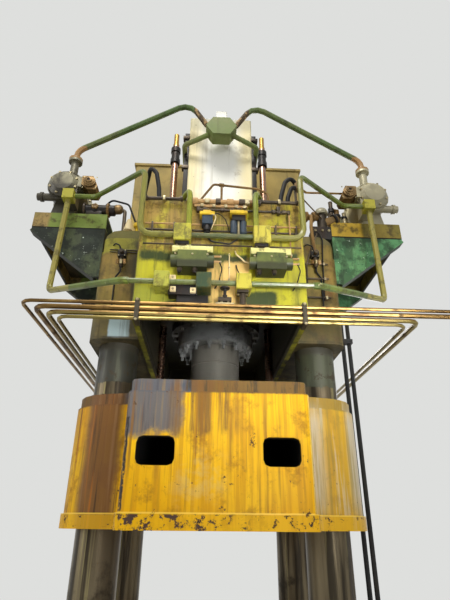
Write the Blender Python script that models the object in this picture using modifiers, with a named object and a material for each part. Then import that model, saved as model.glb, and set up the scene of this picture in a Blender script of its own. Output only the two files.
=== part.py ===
"""A large four-column hydraulic press with its pumps, tanks and piping on the crown.

Metres, Z up, X to the operator's right, Y away from the operator. The origin is the middle of the
bed's underside. The press stands with its slide at the top of the stroke.
"""
from math import acos, cos, pi, radians, sin, tan

import bmesh
import bpy
from mathutils import Matrix, Vector

# Clearances
GAP = 0.0003                  # between pieces that touch
RUNNING = 0.0005              # radial, between a sliding or turning piece and its bore

# Columns
COLUMN_SPACING_X = 2.500
COLUMN_SPACING_Y = 2.174
COLUMN_R = 0.245
NECK_R = 0.195                # the column's ends, through the bed and the crown
NUT_R = 0.290                 # to the hexagon's corners
NUT_HEIGHT = 0.250
COLUMN_TIP = 0.040            # column end standing past its nut
NUT_ROOM = 0.015              # round a nut in its pocket

# Heights, from the floor up
BED_HEIGHT = 1.300
BOLSTER_THICK = 0.200
DAYLIGHT = 1.150              # bolster to slide, slide at the top
STROKE = 0.900
SLIDE_HEIGHT = 1.341
SLIDE_TO_CROWN = 0.679        # slide top to the crown's lower edge, slide at the top

# Plan of the castings: a deep core with a lobe round each column
CORE_HALF_X = 0.894
CORE_HALF_Y = 2.292
CORE_CORNER_R = 0.090
LOBE_HALF_X = 1.610
LOBE_HALF_Y = 1.560
LOBE_CORNER_R = 0.440
LOBE_SLANT = 0.170            # how far the lobe's front leans back from core to corner

# Bed and bolster
BED_GROWTH = 0.040            # the bed's plan outside the slide's
BED_POCKET_DEPTH = 0.420
BOLSTER_MARGIN = 0.060
T_SLOTS = 5
T_SLOT_PITCH = 0.320
T_SLOT_NECK = 0.042
T_SLOT_HEAD = 0.075
T_SLOT_NECK_DEPTH = 0.060
T_SLOT_HEAD_DEPTH = 0.045

# Slide
FLANGE_HEIGHT = 0.140
RIM_HEIGHT = 0.120
LEDGE = 0.022
WINDOW_X = 0.590
WINDOW_WIDTH = 0.360
WINDOW_HEIGHT = 0.265
WINDOW_Z = 0.665
WINDOW_CORNER_R = 0.060
CORE_WALL = 0.120
CORE_WEB = 0.200              # half the solid web between the slide's two cores
BUSH_WALL = 0.030
BUSH_FLANGE_R = 0.320
BUSH_FLANGE_THICK = 0.045

# Crown
NUT_TO_CORE = 0.010           # from the upper nuts' corners to the core's side
CROWN_HEIGHT = 1.490
CROWN_CORNER_R = 0.060
EAR_WALL_X = 0.340            # the ears beyond the columns' middles, to the side
EAR_WALL_Y = 0.363            # and to the front and back
EAR_DROP = 0.040              # the ears' underside above the core's lower edge
EAR_RISE = 0.110              # the ears' top above the deck
EAR_SHOULDER_R = 0.260
EAR_CORNER_R = 0.160
EAR_WAIST_HALF_Y = 0.420
EAR_WAIST_DEPTH = 0.220
NUT_SEAT_DROP = 0.310         # the upper nuts' seats below the ears' top
TROUGH_ROOM = 0.012           # from the pull-back cylinders to the raised ears
WELL_WALL = 0.090             # walls round the open underside of the crown
WELL_DEPTH = 0.780

# Main cylinder, gland and ram
RAM_R = 0.362
RAM_GROOVE_Z = 0.820          # above the slide's top
RAM_GROOVE = 0.012
CYLINDER_R = 0.500
CYLINDER_CLEAR = 0.010        # radial, between ram and cylinder above the packing
CYLINDER_FLANGE_R = 0.680
CYLINDER_FLANGE_THICK = 0.130
CYLINDER_ABOVE_DECK = 0.800
CYLINDER_END = 0.160
RAM_TOP_CLEAR = 0.050         # over the ram, slide at the top
FLANGE_BOLTS = 16
FLANGE_BOLT_PCR = 0.625
GLAND_R = 0.575
GLAND_THICK = 0.250
GLAND_NOSE = 0.080
STUFFING_R = 0.430
STUFFING_DEPTH = 0.300
GLAND_STUDS = 16
GLAND_STUD_PCR = 0.515
STUD_R = 0.022
STUD_LENGTH = 0.110
HEX_R = 0.042
HEX_HEIGHT = 0.045

# Prefill valve, tanks
PREFILL_R = 0.260
PREFILL_HEIGHT = 0.200
PREFILL_PORT_R = 0.150
TANK_HALF_X = 0.510
TANK_FRONT_Y = -1.000
TANK_BACK_Y = 0.450
TANK_HEIGHT = 1.740
TANK_EDGE = 0.020
LEG_SIZE = 0.080
RESERVOIR_HALF_X = 1.660
RESERVOIR_FRONT_Y = 0.620
RESERVOIR_BACK_Y = 1.750
RESERVOIR_HEIGHT = 2.600
RESERVOIR_RAISE = 0.500       # feet under the reservoir
RESERVOIR_FOOT_X = 0.800
RESERVOIR_FOOT_WIDTH = 0.180

# Pull-back cylinders and rods
PULL_X = 0.820
PULL_ROD_R = 0.060
PULL_CYLINDER_R = 0.110
PULL_CYLINDER_HEIGHT = 1.680
PULL_FLANGE_R = 0.170
PULL_FLANGE_THICK = 0.060
PULL_HEAD_R = 0.130
PULL_HEAD_HEIGHT = 0.140
PULL_FOOT_R = 0.110
PULL_FOOT_HEIGHT = 0.070
COLLAR_R = 0.090
COLLAR_HEIGHT = 0.360
CAP_R = 0.048
CAP_HEIGHT = 0.300
STOP_CLEAR = 0.020            # collar to cylinder head at the bottom of the stroke

# Pump platforms
PLATFORM_OUT_X = 2.600
PLATFORM_FRONT_Y = -1.300
PLATFORM_BACK_Y = 0.600
PLATFORM_ABOVE_DECK = 0.470
PLATFORM_BAND = 0.240
PLATFORM_PLATE = 0.040
GUSSET_DEPTH = 0.760
GUSSET_THICK = 0.030
GUSSET_TIP = 0.030
BRACE_WIDTH = 0.260
MOUNT_PLATE = 0.035

# Pumps and motors
PUMP_X = 2.240
PUMP_HEIGHT = 0.440           # shaft above the platform
PUMP_R = 0.245
PUMP_FLANGE_R = 0.290
PUMP_FLANGE_THICK = 0.050
PUMP_FRONT_Y = -1.480
PUMP_BACK_Y = -0.860
PUMP_NOSE = 0.080
PUMP_FOOT_WIDTH = 0.340
PORT_INSET = 0.070            # the top port nearer the press than the shaft
PORT_Y = -1.300
PORT_NECK_R = 0.058
PORT_FLANGE_R = 0.100
PORT_RISE = 0.260             # from the pump's top to its port's face
HOUSING_SEAT = 0.252          # from the pump's shaft to the control housing's seat
HOUSING_REACH = 0.485
HOUSING_TOP = 0.130
HOUSING_DEPTH = 0.260
SERVO_R = 0.055
SERVO_REACH = 0.370           # from the pump's shaft to the servo's outer end
SERVO_DROP = 0.175
TEE_SIZE = 0.150
TEE_INSET = 0.140
TEE_DROP = 0.290              # below the pump's shaft
COUPLING_R = 0.105
COUPLING_DISC = 0.055
SHAFT_R = 0.035
SHAFT_BITE = 0.120            # shaft length inside the pump and inside the motor
MOTOR_R = 0.310
MOTOR_FRONT_Y = -0.600
MOTOR_BACK_Y = 0.420
MOTOR_RIBS = 16
MOTOR_RIB_HEIGHT = 0.028
MOTOR_FOOT_WIDTH = 0.520

# Piping on the front of the crown
PIPE_Y = 0.130                # pipe centres in front of the crown's face
ARC_PIPE_R = 0.045
DOWN_PIPE_R = 0.040
DELIVERY_PIPE_R = 0.034
PULL_PIPE_R = 0.033
HEADER_PIPE_R = 0.030
BEND_R = 0.130
UPPER_HEADER_Z = -0.570       # below the deck
UPPER_BLOCK_X = 0.440
UPPER_BLOCK_WIDTH = 0.190
UPPER_BLOCK_HEIGHT = 0.220
BLOCK_DEPTH = 0.210
LOWER_HEADER_Z = -1.160
LOWER_BLOCK_WIDTH = 0.160
LOWER_BLOCK_HEIGHT = 0.180
LOWER_BLOCK_XS = (-0.630, -0.190, 0.230)
LOWER_HEADER_HALF = 0.980
VALVE_XS = (-0.320, 0.530)
VALVE_Z = -0.840
VALVE_WIDTH = 0.440
RISER_X = 0.920
RISER_TOP_Z = 0.330

# Top manifold
MANIFOLD_HALF_X = 0.240
MANIFOLD_HALF_Z = 0.170
MANIFOLD_THICK = 0.240
MANIFOLD_DROP = 0.590         # its middle below the tank's top
MANIFOLD_LEG_R = 0.040
BREATHER_SIZE = 0.170

# Pipe bundle across the crown's lower front, and conduits at the right side
BUNDLE_RS = (0.020, 0.028, 0.026, 0.020)
BUNDLE_DROPS = (-0.070, -0.010, 0.050, 0.098)     # below the crown's lower edge
BUNDLE_LEFT_XS = (-2.050, -1.900, -1.770, -1.660)
BUNDLE_RIGHT_XS = (2.700, 2.700, 2.060, 1.920)
BUNDLE_BACK_Y = 1.300
BUNDLE_BEND_R = 0.110
CLAMP_INSET = 0.090           # the clamps' middles inside the core's side
CLAMP_WIDTH = 0.045
CONDUIT_R = 0.028
CONDUIT_OFFSETS = (0.030, 0.112)       # from the bed's or the ear's side, whichever is further out
CONDUIT_Y = -1.000
CONDUIT_FOOT_Z = 0.200
CONDUIT_TOP_RISE = 0.550      # the conduits' top above the ears' underside
CLIP_TO_EDGE = 0.200          # clips' middles from the ears' underside and the bed's top
CLIP_HALF_Y = 0.045
CLIP_HALF_Z = 0.030
CLIP_LIP = 0.012              # the clip beyond the outer conduit

# Levels that follow from the sizes above
BED_TOP = BED_HEIGHT
BOLSTER_TOP = BED_TOP + BOLSTER_THICK
SLIDE_Z = BOLSTER_TOP + DAYLIGHT
SLIDE_TOP = SLIDE_Z + SLIDE_HEIGHT
CROWN_Z = SLIDE_TOP + SLIDE_TO_CROWN
DECK_Z = CROWN_Z + CROWN_HEIGHT
EAR_Z = CROWN_Z + EAR_DROP
EAR_TOP = DECK_Z + EAR_RISE
WELL_TOP = CROWN_Z + WELL_DEPTH
CYLINDER_TOP = DECK_Z + CYLINDER_ABOVE_DECK
TANK_Z = CYLINDER_TOP + PREFILL_HEIGHT
TANK_TOP = TANK_Z + TANK_HEIGHT
GLAND_TOP = WELL_TOP - CYLINDER_FLANGE_THICK
GLAND_Z = GLAND_TOP - GLAND_THICK
PLATFORM_Z = DECK_Z + PLATFORM_ABOVE_DECK
PUMP_Z = PLATFORM_Z + PUMP_HEIGHT
PORT_Z = PUMP_Z + PUMP_R + PORT_RISE
PORT_X = PUMP_X - PORT_INSET
TEE_X = PUMP_X - TEE_INSET
TEE_Z = PUMP_Z - TEE_DROP
TEE_BACK_Y = PUMP_FRONT_Y + 0.060
NUT_SEAT_Z = EAR_TOP - NUT_SEAT_DROP
BED_SIDE_X = LOBE_HALF_X + BED_GROWTH
CROWN_HALF_X = COLUMN_SPACING_X / 2 - NUT_R - NUT_TO_CORE
CLAMP_X = CROWN_HALF_X - CLAMP_INSET
EAR_HALF_X = COLUMN_SPACING_X / 2 + EAR_WALL_X
EAR_HALF_Y = COLUMN_SPACING_Y / 2 + EAR_WALL_Y
CONDUIT_WALL_X = max(BED_SIDE_X, EAR_HALF_X)
FACE_Y = -CORE_HALF_Y
LINE_Y = FACE_Y - PIPE_Y

BIG_ROUND = 24                # facets round the columns, bushes and ram
ROUND = 16
SMALL_ROUND = 12

SHAFT_BORE_R = SHAFT_R / cos(pi / ROUND) + RUNNING    # the shaft's facets turn clear of the bore's

SIDES = {"left": -1, "right": 1}
CORNERS = {
    "front_left": (-1, -1),
    "front_right": (1, -1),
    "rear_left": (-1, 1),
    "rear_right": (1, 1),
}


# Scene, collections and materials
def empty_scene():
    """Removes every object, and starts one collection for the press and one for its cutters."""
    for old in list(bpy.data.objects):
        bpy.data.objects.remove(old, do_unlink=True)
    made = []
    for name in ("hydraulic_press", "cutters"):
        folder = bpy.data.collections.new(name)
        bpy.context.scene.collection.children.link(folder)
        made.append(folder)
    return made


PRESS, CUTTERS = empty_scene()


def material(name, colour, roughness, metallic=0.0):
    """A Principled material with one plain colour."""
    made = bpy.data.materials.new(name)
    made.use_nodes = True
    shader = made.node_tree.nodes["Principled BSDF"]
    shader.inputs["Base Color"].default_value = (*colour, 1.0)
    shader.inputs["Roughness"].default_value = roughness
    shader.inputs["Metallic"].default_value = metallic
    made.diffuse_color = (*colour, 1.0)
    return made


YELLOW = material("yellow_paint", (0.72, 0.42, 0.06), 0.45)
OLIVE = material("olive_paint", (0.36, 0.33, 0.07), 0.55)
LIME = material("lime_paint", (0.50, 0.52, 0.05), 0.50)
GREEN = material("green_paint", (0.13, 0.27, 0.08), 0.45)
MINT = material("mint_paint", (0.20, 0.45, 0.27), 0.50)
CREAM = material("cream_paint", (0.80, 0.74, 0.55), 0.45)
COLUMN_STEEL = material("oily_steel", (0.20, 0.18, 0.15), 0.30, 1.0)
CHROME = material("chrome", (0.75, 0.75, 0.76), 0.12, 1.0)
BLACK = material("black_steel", (0.03, 0.03, 0.03), 0.50, 0.6)
BRASS = material("brass", (0.70, 0.52, 0.22), 0.35, 1.0)
BRONZE = material("bronze", (0.48, 0.33, 0.16), 0.40, 1.0)
CAST = material("cast_grey", (0.28, 0.27, 0.25), 0.55, 0.7)
COPPER = material("copper_pipe", (0.62, 0.38, 0.16), 0.38, 1.0)
SEAL = material("packing", (0.05, 0.05, 0.05), 0.80)


# Making solids
def place(mesh_object, folder):
    """Links an object to one collection only."""
    for holder in list(mesh_object.users_collection):
        holder.objects.unlink(mesh_object)
    folder.objects.link(mesh_object)


def from_bmesh(name, shape, paint, folder=None):
    """An object made of a bmesh, with smooth shading broken at sharp edges."""
    bmesh.ops.recalc_face_normals(shape, faces=shape.faces)
    mesh = bpy.data.meshes.new(name)
    shape.to_mesh(mesh)
    shape.free()
    made = bpy.data.objects.new(name, mesh)
    (folder or PRESS).objects.link(made)
    finish(made, paint)
    return made


def finish(made, paint):
    """Gives an object its one material and its shading."""
    made.data.materials.clear()
    made.data.materials.append(paint)
    made.data.shade_smooth()
    made.data.set_sharp_from_angle(angle=radians(30))


def solid_from(guide, name, paint, folder=None):
    """Turns a curve, or an object with modifiers, into a plain closed mesh object."""
    view = bpy.context.evaluated_depsgraph_get()
    view.update()
    mesh = bpy.data.meshes.new_from_object(guide.evaluated_get(view))
    where = guide.matrix_world.copy()
    bpy.data.objects.remove(guide, do_unlink=True)
    shape = bmesh.new()
    shape.from_mesh(mesh)
    bpy.data.meshes.remove(mesh)
    bmesh.ops.remove_doubles(shape, verts=shape.verts, dist=0.00005)
    made = from_bmesh(name, shape, paint, folder)
    made.matrix_world = where
    return made


def block(name, low, high, paint, bevel=0.0, folder=None):
    """A box between two corners, with its edges bevelled a little where asked."""
    low, high = Vector(low), Vector(high)
    shape = bmesh.new()
    size = high - low
    where = Matrix.Translation((low + high) / 2) @ Matrix.Diagonal((*size, 1.0))
    bmesh.ops.create_cube(shape, size=1.0, matrix=where)
    if bevel:
        bmesh.ops.bevel(shape, geom=shape.edges[:], offset=bevel, segments=1, affect="EDGES")
    return from_bmesh(name, shape, paint, folder)


def rod(name, start, end, radius, paint, sides=ROUND, tip_radius=None, folder=None):
    """A cylinder or cone from one point to another, with the same facets whatever its length."""
    start, end = Vector(start), Vector(end)
    axis = end - start
    turn = axis.to_track_quat("Z", "Y").to_matrix().to_4x4()
    shape = bmesh.new()
    tip = radius if tip_radius is None else tip_radius
    where = Matrix.Translation((start + end) / 2) @ turn
    bmesh.ops.create_cone(shape, cap_ends=True, segments=sides, radius1=radius, radius2=tip,
                          depth=axis.length, matrix=where)
    return from_bmesh(name, shape, paint, folder)


def turned(name, profile, paint, where=Matrix.Identity(4), sides=ROUND, folder=None):
    """A solid of revolution round Z. The profile of (radius, height) runs down its outer side."""
    mesh = bpy.data.meshes.new(name)
    shape = bmesh.new()
    corners = [shape.verts.new((radius, 0.0, height)) for radius, height in profile]
    for first, second in zip(corners, corners[1:]):
        shape.edges.new((first, second))
    if profile[0][0] > 0.0:
        shape.edges.new((corners[-1], corners[0]))
    shape.to_mesh(mesh)
    shape.free()
    made = bpy.data.objects.new(name, mesh)
    (folder or PRESS).objects.link(made)
    screw = made.modifiers.new("turn", "SCREW")
    screw.steps = sides
    screw.render_steps = sides
    screw.use_merge_vertices = True
    screw.merge_threshold = 0.0001
    made.matrix_world = where
    return solid_from(made, name, paint, folder)


def plate(name, outline, low, high, paint, across="Z", folder=None):
    """A flat outline with a thickness. Across is the axis that the thickness lies along.

    For Z the outline's pairs are X and Y, and for Y they are X and Z.
    """
    curve = bpy.data.curves.new(name, "CURVE")
    curve.dimensions = "2D"
    curve.fill_mode = "BOTH"
    curve.extrude = (high - low) / 2
    spline = curve.splines.new("POLY")
    spline.points.add(len(outline) - 1)
    spline.use_cyclic_u = True
    for point, (first, second) in zip(spline.points, outline):
        point.co = (first, second, 0.0, 1.0)
    made = bpy.data.objects.new(name, curve)
    (folder or PRESS).objects.link(made)
    middle = (low + high) / 2
    if across == "Z":
        made.matrix_world = Matrix.Translation((0.0, 0.0, middle))
    else:
        made.matrix_world = Matrix.Translation((0.0, middle, 0.0)) @ Matrix.Rotation(pi / 2, 4, "X")
    bpy.context.view_layer.update()
    return solid_from(made, name, paint, folder)


def pipe(name, points, radius, paint, resolution=2, folder=None):
    """A round bar or pipe along a line of points, with flat ends."""
    curve = bpy.data.curves.new(name, "CURVE")
    curve.dimensions = "3D"
    curve.bevel_depth = radius
    curve.bevel_resolution = resolution
    curve.use_fill_caps = True
    spline = curve.splines.new("POLY")
    spline.points.add(len(points) - 1)
    for point, place_at in zip(spline.points, points):
        point.co = (*place_at, 1.0)
    made = bpy.data.objects.new(name, curve)
    (folder or PRESS).objects.link(made)
    return solid_from(made, name, paint, folder)


def bent(corners, radius, steps=3):
    """The corner points of a pipe run with each bend made round."""
    corners = [Vector(corner) for corner in corners]
    run = [corners[0]]
    for before, corner, after in zip(corners, corners[1:], corners[2:]):
        arriving = (corner - before).normalized()
        leaving = (after - corner).normalized()
        turn = acos(max(-1.0, min(1.0, arriving.dot(leaving))))
        reach = radius * tan(turn / 2)
        centre = corner + (leaving - arriving).normalized() * (radius / cos(turn / 2))
        axis = arriving.cross(leaving).normalized()
        spoke = corner - arriving * reach - centre
        for step in range(steps + 1):
            run.append(centre + Matrix.Rotation(turn * step / steps, 3, axis) @ spoke)
    run.append(corners[-1])
    return run


def rounded(corners):
    """A flat outline from corners of (x, y, radius). A larger radius gets more facets."""
    outline = []
    count = len(corners)
    for index, (x, y, radius) in enumerate(corners):
        corner = Vector((x, y))
        before = Vector(corners[index - 1][:2])
        after = Vector(corners[(index + 1) % count][:2])
        if radius <= 0.0:
            outline.append(tuple(corner))
            continue
        arriving = (corner - before).normalized()
        leaving = (after - corner).normalized()
        turn = arriving.angle_signed(leaving)
        reach = radius * tan(abs(turn) / 2)
        start = corner - arriving * reach
        side = Vector((arriving.y, -arriving.x)) * (1 if turn > 0 else -1)
        centre = start + side * radius
        spoke = start - centre
        steps = 2 + int(radius > 0.1) + int(radius > 0.2)
        for step in range(steps + 1):
            angle = -turn * step / steps
            outline.append((centre.x + spoke.x * cos(angle) - spoke.y * sin(angle),
                            centre.y + spoke.x * sin(angle) + spoke.y * cos(angle)))
    return outline


def as_tool(tool):
    """Puts an object among the cutters, hidden from renders."""
    place(tool, CUTTERS)
    tool.hide_render = True
    tool.display_type = "WIRE"


def combine(base, tools, operation):
    """Adds one Boolean to a solid for each tool, and puts the tools away."""
    for tool in tools:
        change = base.modifiers.new(tool.name, "BOOLEAN")
        change.operation = operation
        change.solver = "EXACT"
        change.object = tool
        as_tool(tool)
    return base


def fuse(base, *tools):
    """One solid made of several that overlap."""
    return combine(base, tools, "UNION")


def cut(base, *tools):
    """A solid with the tools' shapes taken out."""
    return combine(base, tools, "DIFFERENCE")


# Shapes that several castings share
def lobed_plan(growth=0.0):
    """The plan of bed and slide: a deep core, with a lobe at each pair of columns."""
    core_x, core_y = CORE_HALF_X + growth, CORE_HALF_Y + growth
    lobe_x, lobe_y = LOBE_HALF_X + growth, LOBE_HALF_Y + growth
    quarter = [
        (core_x, core_y, CORE_CORNER_R),
        (core_x, lobe_y + LOBE_SLANT, 0.0),
        (lobe_x, lobe_y, LOBE_CORNER_R),
    ]
    front_right = [(x, -y, r) for x, y, r in quarter]
    rear_right = [(x, y, r) for x, y, r in reversed(quarter)]
    rear_left = [(-x, y, r) for x, y, r in quarter]
    front_left = [(-x, -y, r) for x, y, r in reversed(quarter)]
    return rounded(front_right + rear_right + rear_left + front_left)


def column_holes(name, radius, low, high):
    """A cutter at each column."""
    return [rod(f"{name}_{corner}", (COLUMN_SPACING_X / 2 * x, COLUMN_SPACING_Y / 2 * y, low),
                (COLUMN_SPACING_X / 2 * x, COLUMN_SPACING_Y / 2 * y, high), radius, CAST, BIG_ROUND)
            for corner, (x, y) in CORNERS.items()]


# Bed
def make_bed():
    """The lower casting, with the column ends and their nuts sunk in its underside."""
    bed = plate("bed", lobed_plan(BED_GROWTH), 0.0, BED_HEIGHT, OLIVE)
    cut(bed, *column_holes("bed_bore", NECK_R + GAP, -0.1, BED_HEIGHT + 0.1))
    cut(bed, *column_holes("bed_pocket", NUT_R + NUT_ROOM, -0.1, BED_POCKET_DEPTH))


def make_bolster():
    """The plate that tools are clamped to, with its T-slots."""
    half_x = CORE_HALF_X - BOLSTER_MARGIN
    half_y = CORE_HALF_Y - BOLSTER_MARGIN
    low = BED_TOP + GAP
    bolster = block("bolster_plate", (-half_x, -half_y, low), (half_x, half_y, BOLSTER_TOP), CAST, 0.012)
    past = half_y + 0.1
    for index in range(T_SLOTS):
        x = (index - (T_SLOTS - 1) / 2) * T_SLOT_PITCH
        neck_z = BOLSTER_TOP - T_SLOT_NECK_DEPTH
        neck = block(f"slot_neck_{index}", (x - T_SLOT_NECK / 2, -past, neck_z),
                     (x + T_SLOT_NECK / 2, past, BOLSTER_TOP + 0.05), CAST)
        head = block(f"slot_head_{index}", (x - T_SLOT_HEAD / 2, -past, neck_z - T_SLOT_HEAD_DEPTH),
                     (x + T_SLOT_HEAD / 2, past, neck_z + 0.005), CAST)
        cut(bolster, neck, head)


# Columns and their nuts
def make_columns():
    """Each column stands on the bed by its shoulder, and the crown rests on its upper shoulder."""
    low_end = BED_POCKET_DEPTH - GAP - NUT_HEIGHT - COLUMN_TIP
    high_end = NUT_SEAT_Z + GAP + NUT_HEIGHT + COLUMN_TIP
    profile = [
        (0.0, high_end),
        (NECK_R - 0.015, high_end),
        (NECK_R, high_end - 0.015),
        (NECK_R, EAR_Z - GAP),
        (COLUMN_R, EAR_Z - GAP),
        (COLUMN_R, BED_TOP + GAP),
        (NECK_R, BED_TOP + GAP),
        (NECK_R, low_end),
        (0.0, low_end),
    ]
    for corner, (x, y) in CORNERS.items():
        where = Matrix.Translation((COLUMN_SPACING_X / 2 * x, COLUMN_SPACING_Y / 2 * y, 0.0))
        turned(f"column_{corner}", profile, COLUMN_STEEL, where, BIG_ROUND)


def make_nuts():
    """Hexagon nuts under the bed, and on their seats in the crown."""
    for level, low in (("lower", BED_POCKET_DEPTH - GAP - NUT_HEIGHT), ("upper", NUT_SEAT_Z + GAP)):
        for corner, (x, y) in CORNERS.items():
            at_x, at_y = COLUMN_SPACING_X / 2 * x, COLUMN_SPACING_Y / 2 * y
            nut = rod(f"{level}_nut_{corner}", (at_x, at_y, low), (at_x, at_y, low + NUT_HEIGHT), NUT_R, BLACK, 6)
            hole = rod(f"{level}_nut_hole_{corner}", (at_x, at_y, low - 0.1),
                       (at_x, at_y, low + NUT_HEIGHT + 0.1), NECK_R + GAP, BLACK, BIG_ROUND)
            cut(nut, hole)


# Slide
def make_slide():
    """The moving casting: flange below, set-back rim on top, cored behind its windows."""
    rim_z = SLIDE_TOP - RIM_HEIGHT
    slide = plate("slide", lobed_plan(), SLIDE_Z + FLANGE_HEIGHT / 2, rim_z, YELLOW)
    flange = plate("slide_flange", lobed_plan(LEDGE), SLIDE_Z, SLIDE_Z + FLANGE_HEIGHT, YELLOW)
    rim = plate("slide_rim", lobed_plan(-LEDGE), rim_z - FLANGE_HEIGHT, SLIDE_TOP, YELLOW)
    fuse(slide, flange, rim)
    cut(slide, *column_holes("slide_bore", COLUMN_R + BUSH_WALL + GAP, SLIDE_Z - 0.1, SLIDE_TOP + 0.1))
    for side, sign in SIDES.items():
        for end in (-1, 1):
            near = CORE_HALF_X - CORE_WALL
            xs = sorted((sign * CORE_WEB, sign * near))
            ys = sorted((end * RAM_R, end * (CORE_HALF_Y - CORE_WALL)))
            core = block(f"slide_core_{side}_{end}", (xs[0], ys[0], SLIDE_Z + FLANGE_HEIGHT + CORE_WALL),
                         (xs[1], ys[1], rim_z - CORE_WALL), YELLOW)
            half_w, half_h = WINDOW_WIDTH / 2, WINDOW_HEIGHT / 2
            corners = [(sign * WINDOW_X + half_w * u, SLIDE_Z + WINDOW_Z + half_h * v, WINDOW_CORNER_R)
                       for u, v in ((-1, -1), (1, -1), (1, 1), (-1, 1))]
            window_ys = sorted((end * (CORE_HALF_Y - CORE_WALL - 0.1), end * (CORE_HALF_Y + 0.1)))
            window = plate(f"slide_window_{side}_{end}", rounded(corners), window_ys[0], window_ys[1],
                           YELLOW, "Y")
            cut(slide, core, window)
    return [slide]


def make_bushes():
    """A flanged bronze guide bush round each column."""
    inner = COLUMN_R + RUNNING
    outer = COLUMN_R + BUSH_WALL
    top = SLIDE_TOP + GAP
    profile = [
        (inner, top + BUSH_FLANGE_THICK),
        (BUSH_FLANGE_R - 0.010, top + BUSH_FLANGE_THICK),
        (BUSH_FLANGE_R, top + BUSH_FLANGE_THICK - 0.010),
        (BUSH_FLANGE_R, top),
        (outer, top),
        (outer, SLIDE_Z + 0.005),
        (inner, SLIDE_Z + 0.005),
    ]
    bushes = []
    for corner, (x, y) in CORNERS.items():
        where = Matrix.Translation((COLUMN_SPACING_X / 2 * x, COLUMN_SPACING_Y / 2 * y, 0.0))
        bushes.append(turned(f"guide_bush_{corner}", profile, BRONZE, where, BIG_ROUND))
    return bushes


# Crown
def make_crown():
    """The upper casting: a deep core with an open underside, and an ear with round shoulders each side."""
    core_corners = [(CROWN_HALF_X * u, CORE_HALF_Y * v, CROWN_CORNER_R)
                    for u, v in ((-1, -1), (1, -1), (1, 1), (-1, 1))]
    crown = plate("crown", rounded(core_corners), CROWN_Z, DECK_Z, LIME)
    shoulder = [(-EAR_HALF_X, EAR_Z, 0.0), (EAR_HALF_X, EAR_Z, 0.0),
                (EAR_HALF_X, EAR_TOP, EAR_SHOULDER_R), (-EAR_HALF_X, EAR_TOP, EAR_SHOULDER_R)]
    ears = plate("crown_ears", rounded(shoulder), -EAR_HALF_Y, EAR_HALF_Y, LIME, "Y")
    plan = [(EAR_HALF_X * u, EAR_HALF_Y * v, EAR_CORNER_R)
            for u, v in ((-1, -1), (1, -1), (1, 1), (-1, 1))]
    keep = plate("crown_ear_plan", rounded(plan), EAR_Z - 0.2, EAR_TOP + 0.2, LIME)
    combine(ears, [keep], "INTERSECT")
    for side, sign in SIDES.items():
        xs = sorted((sign * (EAR_HALF_X - EAR_WAIST_DEPTH), sign * (EAR_HALF_X + 0.2)))
        waist = block(f"crown_waist_{side}", (xs[0], -EAR_WAIST_HALF_Y, EAR_Z - 0.1),
                      (xs[1], EAR_WAIST_HALF_Y, EAR_TOP + 0.1), LIME)
        cut(ears, waist)
    for corner, (x, y) in CORNERS.items():
        at_x, at_y = COLUMN_SPACING_X / 2 * x, COLUMN_SPACING_Y / 2 * y
        room = NUT_R + NUT_ROOM
        xs = sorted((x * CROWN_HALF_X, x * (EAR_HALF_X + 0.2)))
        seat = block(f"crown_nut_seat_{corner}", (xs[0], at_y - room, NUT_SEAT_Z),
                     (xs[1], at_y + room, EAR_TOP + 0.1), LIME)
        cut(ears, seat)
    trough_half_x = PULL_X + PULL_FLANGE_R + TROUGH_ROOM
    trough = block("crown_trough", (-trough_half_x, -EAR_HALF_Y - 0.1, DECK_Z),
                   (trough_half_x, EAR_HALF_Y + 0.1, EAR_TOP + 0.2), LIME)
    cut(ears, trough)
    fuse(crown, ears)
    well = block("crown_well", (-CROWN_HALF_X + WELL_WALL, -CORE_HALF_Y + WELL_WALL, CROWN_Z - 0.2),
                 (CROWN_HALF_X - WELL_WALL, CORE_HALF_Y - WELL_WALL, WELL_TOP), LIME)
    bore = rod("crown_bore", (0, 0, WELL_TOP - 0.1), (0, 0, DECK_Z + 0.1), CYLINDER_R + GAP, LIME, BIG_ROUND)
    cut(crown, well, bore, *column_holes("crown_bore", NECK_R + GAP, EAR_Z - 0.1, EAR_TOP + 0.1))
    for side, sign in SIDES.items():
        hole = rod(f"crown_pull_hole_{side}", (sign * PULL_X, 0, CROWN_Z - 0.1),
                   (sign * PULL_X, 0, DECK_Z + 0.1), PULL_ROD_R + 0.010, LIME)
        cut(crown, hole)


# Main cylinder, packing, gland and ram
def hex_ring(name, count, circle_r, face, stud_length=0.0):
    """Hexagon heads on a circle under a face that looks down, with studs through them if asked."""
    pieces = []
    for index in range(count):
        angle = 2 * pi * (index + 0.5) / count
        x, y = circle_r * cos(angle), circle_r * sin(angle)
        inside = face + 0.004
        pieces.append(rod(f"{name}_{index}", (x, y, inside), (x, y, face - HEX_HEIGHT), HEX_R, BLACK, 6))
        if stud_length:
            pieces.append(rod(f"{name}_stud_{index}", (x, y, inside), (x, y, face - stud_length), STUD_R,
                              BLACK, 6))
    return pieces


def make_cylinder():
    """The main cylinder, held up under the crown by its flange, with a port for the prefill valve."""
    bore = RAM_R + CYLINDER_CLEAR
    under = WELL_TOP - GAP
    profile = [
        (PREFILL_PORT_R, CYLINDER_TOP),
        (CYLINDER_R - 0.020, CYLINDER_TOP),
        (CYLINDER_R, CYLINDER_TOP - 0.020),
        (CYLINDER_R, under),
        (CYLINDER_FLANGE_R, under),
        (CYLINDER_FLANGE_R, GLAND_TOP),
        (STUFFING_R, GLAND_TOP),
        (STUFFING_R, GLAND_TOP + STUFFING_DEPTH),
        (bore, GLAND_TOP + STUFFING_DEPTH),
        (bore, CYLINDER_TOP - CYLINDER_END),
        (PREFILL_PORT_R, CYLINDER_TOP - CYLINDER_END),
    ]
    cylinder = turned("main_cylinder", profile, CAST, sides=BIG_ROUND)
    fuse(cylinder, *hex_ring("flange_bolt", FLANGE_BOLTS, FLANGE_BOLT_PCR, GLAND_TOP))


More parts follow.
